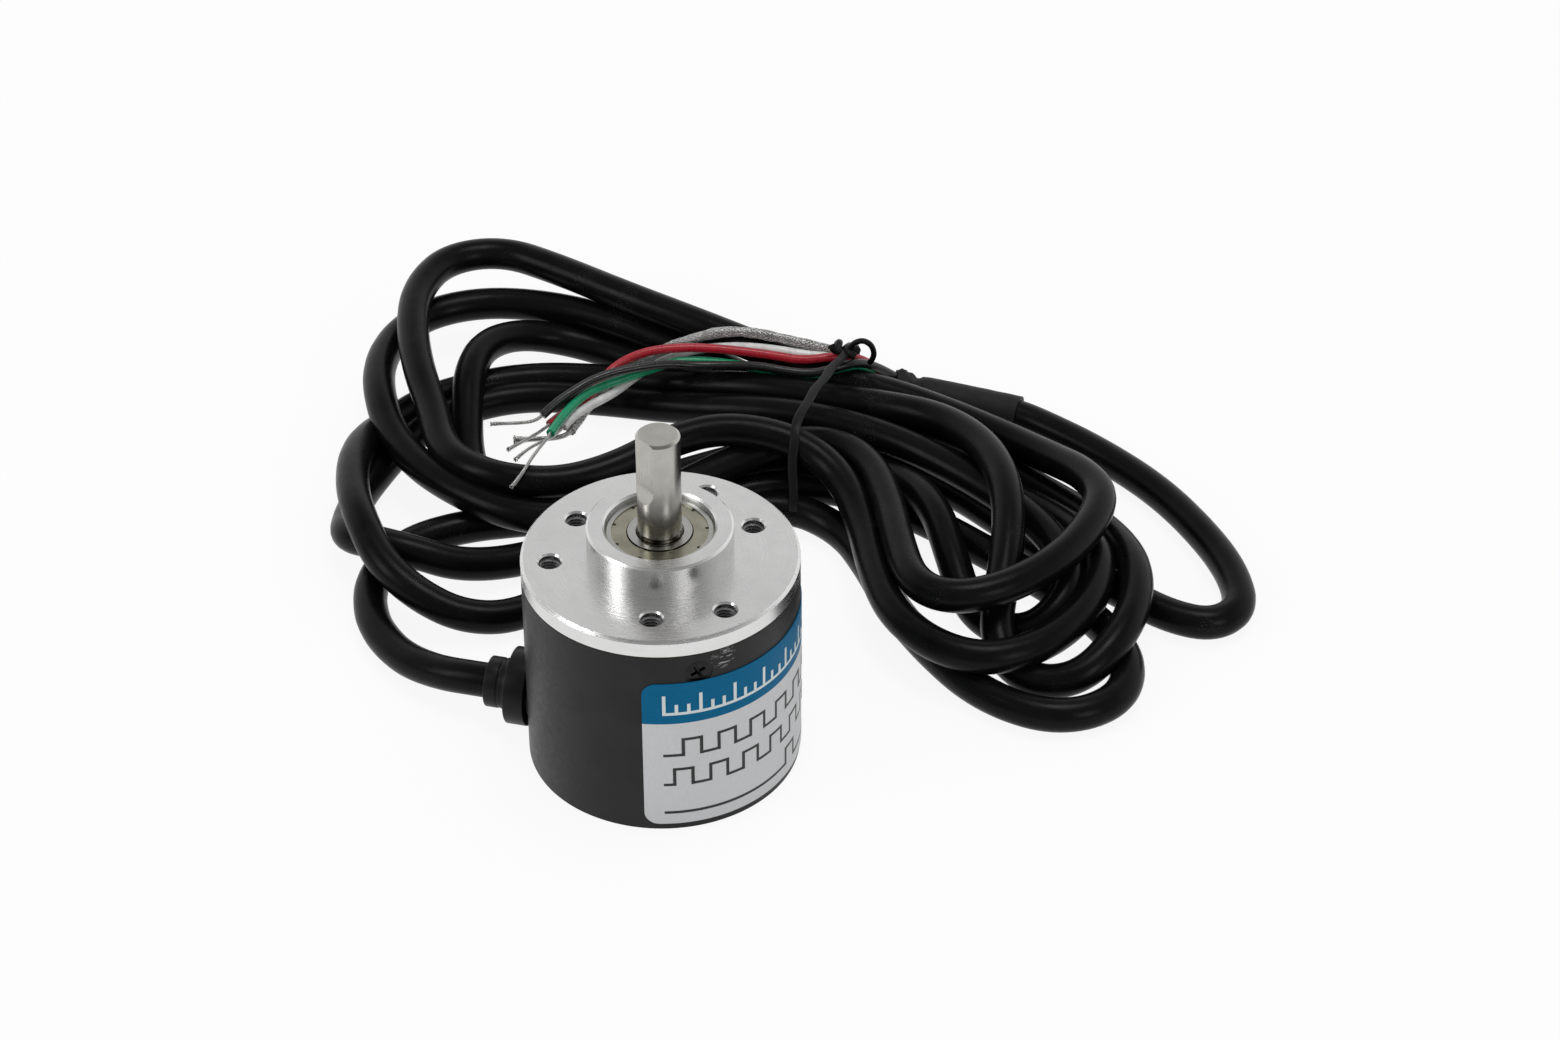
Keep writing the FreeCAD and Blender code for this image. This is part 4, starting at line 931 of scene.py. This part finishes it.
# ---------------------------------------------------------------- floor and light
def soft_lamp(name, at, towards, width, height, level):
    """Soft box whose face is level times as bright as a white card in full light."""
    lamp = bpy.data.lights.new(name, "AREA")
    lamp.shape = "RECTANGLE"
    lamp.size, lamp.size_y = width, height
    lamp.energy = level * math.pi * width * height
    holder = bpy.data.objects.new(name, lamp)
    holder.location = at
    holder.rotation_euler = (Vector(towards) - Vector(at)).to_track_quat("-Z", "Y").to_euler()
    bpy.context.scene.collection.objects.link(holder)


middle = (0.0, 0.03, 0.02)
soft_lamp("top_box", (0.08, 0.12, 0.95), middle, 0.34, 0.34, 6.5)
soft_lamp("left_box", (-0.72, -0.45, 0.55), middle, 0.26, 0.5, 4.5)
soft_lamp("right_box", (0.70, -0.55, 0.45), middle, 0.26, 0.4, 3.5)


def ray_share(tree, *kinds):
    """1 for a ray of any of these kinds, else 0."""
    path = tree.nodes.new("ShaderNodeLightPath")
    share = path.outputs[kinds[0]]
    for kind in kinds[1:]:
        larger = tree.nodes.new("ShaderNodeMath")
        larger.operation = "MAXIMUM"
        tree.links.new(share, larger.inputs[0])
        tree.links.new(path.outputs[kind], larger.inputs[1])
        share = larger.outputs["Value"]
    return share


world = bpy.data.worlds.new("studio")
bpy.context.scene.world = world
world.use_nodes = True
studio = world.node_tree
sky = studio.nodes["Background"]
sky.inputs["Color"].default_value = (1, 1, 1, 1)
# The room is white. In a gloss its ceiling over the lamps and its near side are dim.
compass = studio.nodes.new("ShaderNodeTexCoord")
heading = studio.nodes.new("ShaderNodeSeparateXYZ")
studio.links.new(compass.outputs["Generated"], heading.inputs["Vector"])


def graded(value, low, high, at_low, at_high):
    """Level that goes from at_low to at_high as value goes from low to high; a level may be a socket."""
    grade = studio.nodes.new("ShaderNodeMapRange")
    grade.inputs["From Min"].default_value, grade.inputs["From Max"].default_value = low, high
    for key, number in (("To Min", at_low), ("To Max", at_high)):
        if isinstance(number, float):
            grade.inputs[key].default_value = number
        else:
            studio.links.new(number, grade.inputs[key])
    studio.links.new(value, grade.inputs["Value"])
    return grade.outputs["Result"]


ceiling = graded(heading.outputs["Z"], 0.5, 0.8, 1.0, 0.3)
gloss_level = graded(heading.outputs["Y"], -0.25, 0.3, 0.28, ceiling)
soft_level = graded(ray_share(studio, "Is Glossy Ray"), 0.0, 1.0, 0.55, gloss_level)
through = ray_share(studio, "Is Camera Ray", "Is Transmission Ray")
studio.links.new(graded(through, 0.0, 1.0, soft_level, 1.0), sky.inputs["Strength"])

FLOOR_HALF, FLOOR_DROP = 3.0, 0.00005      # metres
table_bm = bmesh.new()
bmesh.ops.create_grid(table_bm, x_segments=1, y_segments=1, size=FLOOR_HALF)
bmesh.ops.translate(table_bm, verts=table_bm.verts, vec=(0, 0, -FLOOR_DROP))
table_mesh = bpy.data.meshes.new("table_top")
table_bm.to_mesh(table_mesh)
table_bm.free()
table_top = bpy.data.objects.new("table_top", table_mesh)
bpy.context.scene.collection.objects.link(table_top)
paper = bpy.data.materials.new("white_paper")
paper.use_nodes = True
sheet_tree = paper.node_tree
paper_shader = sheet_tree.nodes["Principled BSDF"]
paper_shader.inputs["Base Color"].default_value = (0.86, 0.86, 0.86, 1)
paper_shader.inputs["Roughness"].default_value = 0.8
paper_shader.inputs["Specular IOR Level"].default_value = 0.2
glow = sheet_tree.nodes.new("ShaderNodeEmission")
glow.inputs["Color"].default_value = (1, 1, 1, 1)
glow.inputs["Strength"].default_value = 1.0
both = sheet_tree.nodes.new("ShaderNodeMixShader")
share = sheet_tree.nodes.new("ShaderNodeMapRange")
share.inputs["To Max"].default_value = 0.9
seen = ray_share(sheet_tree, "Is Camera Ray", "Is Glossy Ray", "Is Transmission Ray")
sheet_tree.links.new(seen, share.inputs["Value"])
sheet_tree.links.new(share.outputs["Result"], both.inputs["Fac"])
sheet_tree.links.new(paper_shader.outputs["BSDF"], both.inputs[1])
sheet_tree.links.new(glow.outputs["Emission"], both.inputs[2])
sheet_tree.links.new(both.outputs["Shader"], sheet_tree.nodes["Material Output"].inputs["Surface"])
table_mesh.materials.append(paper)
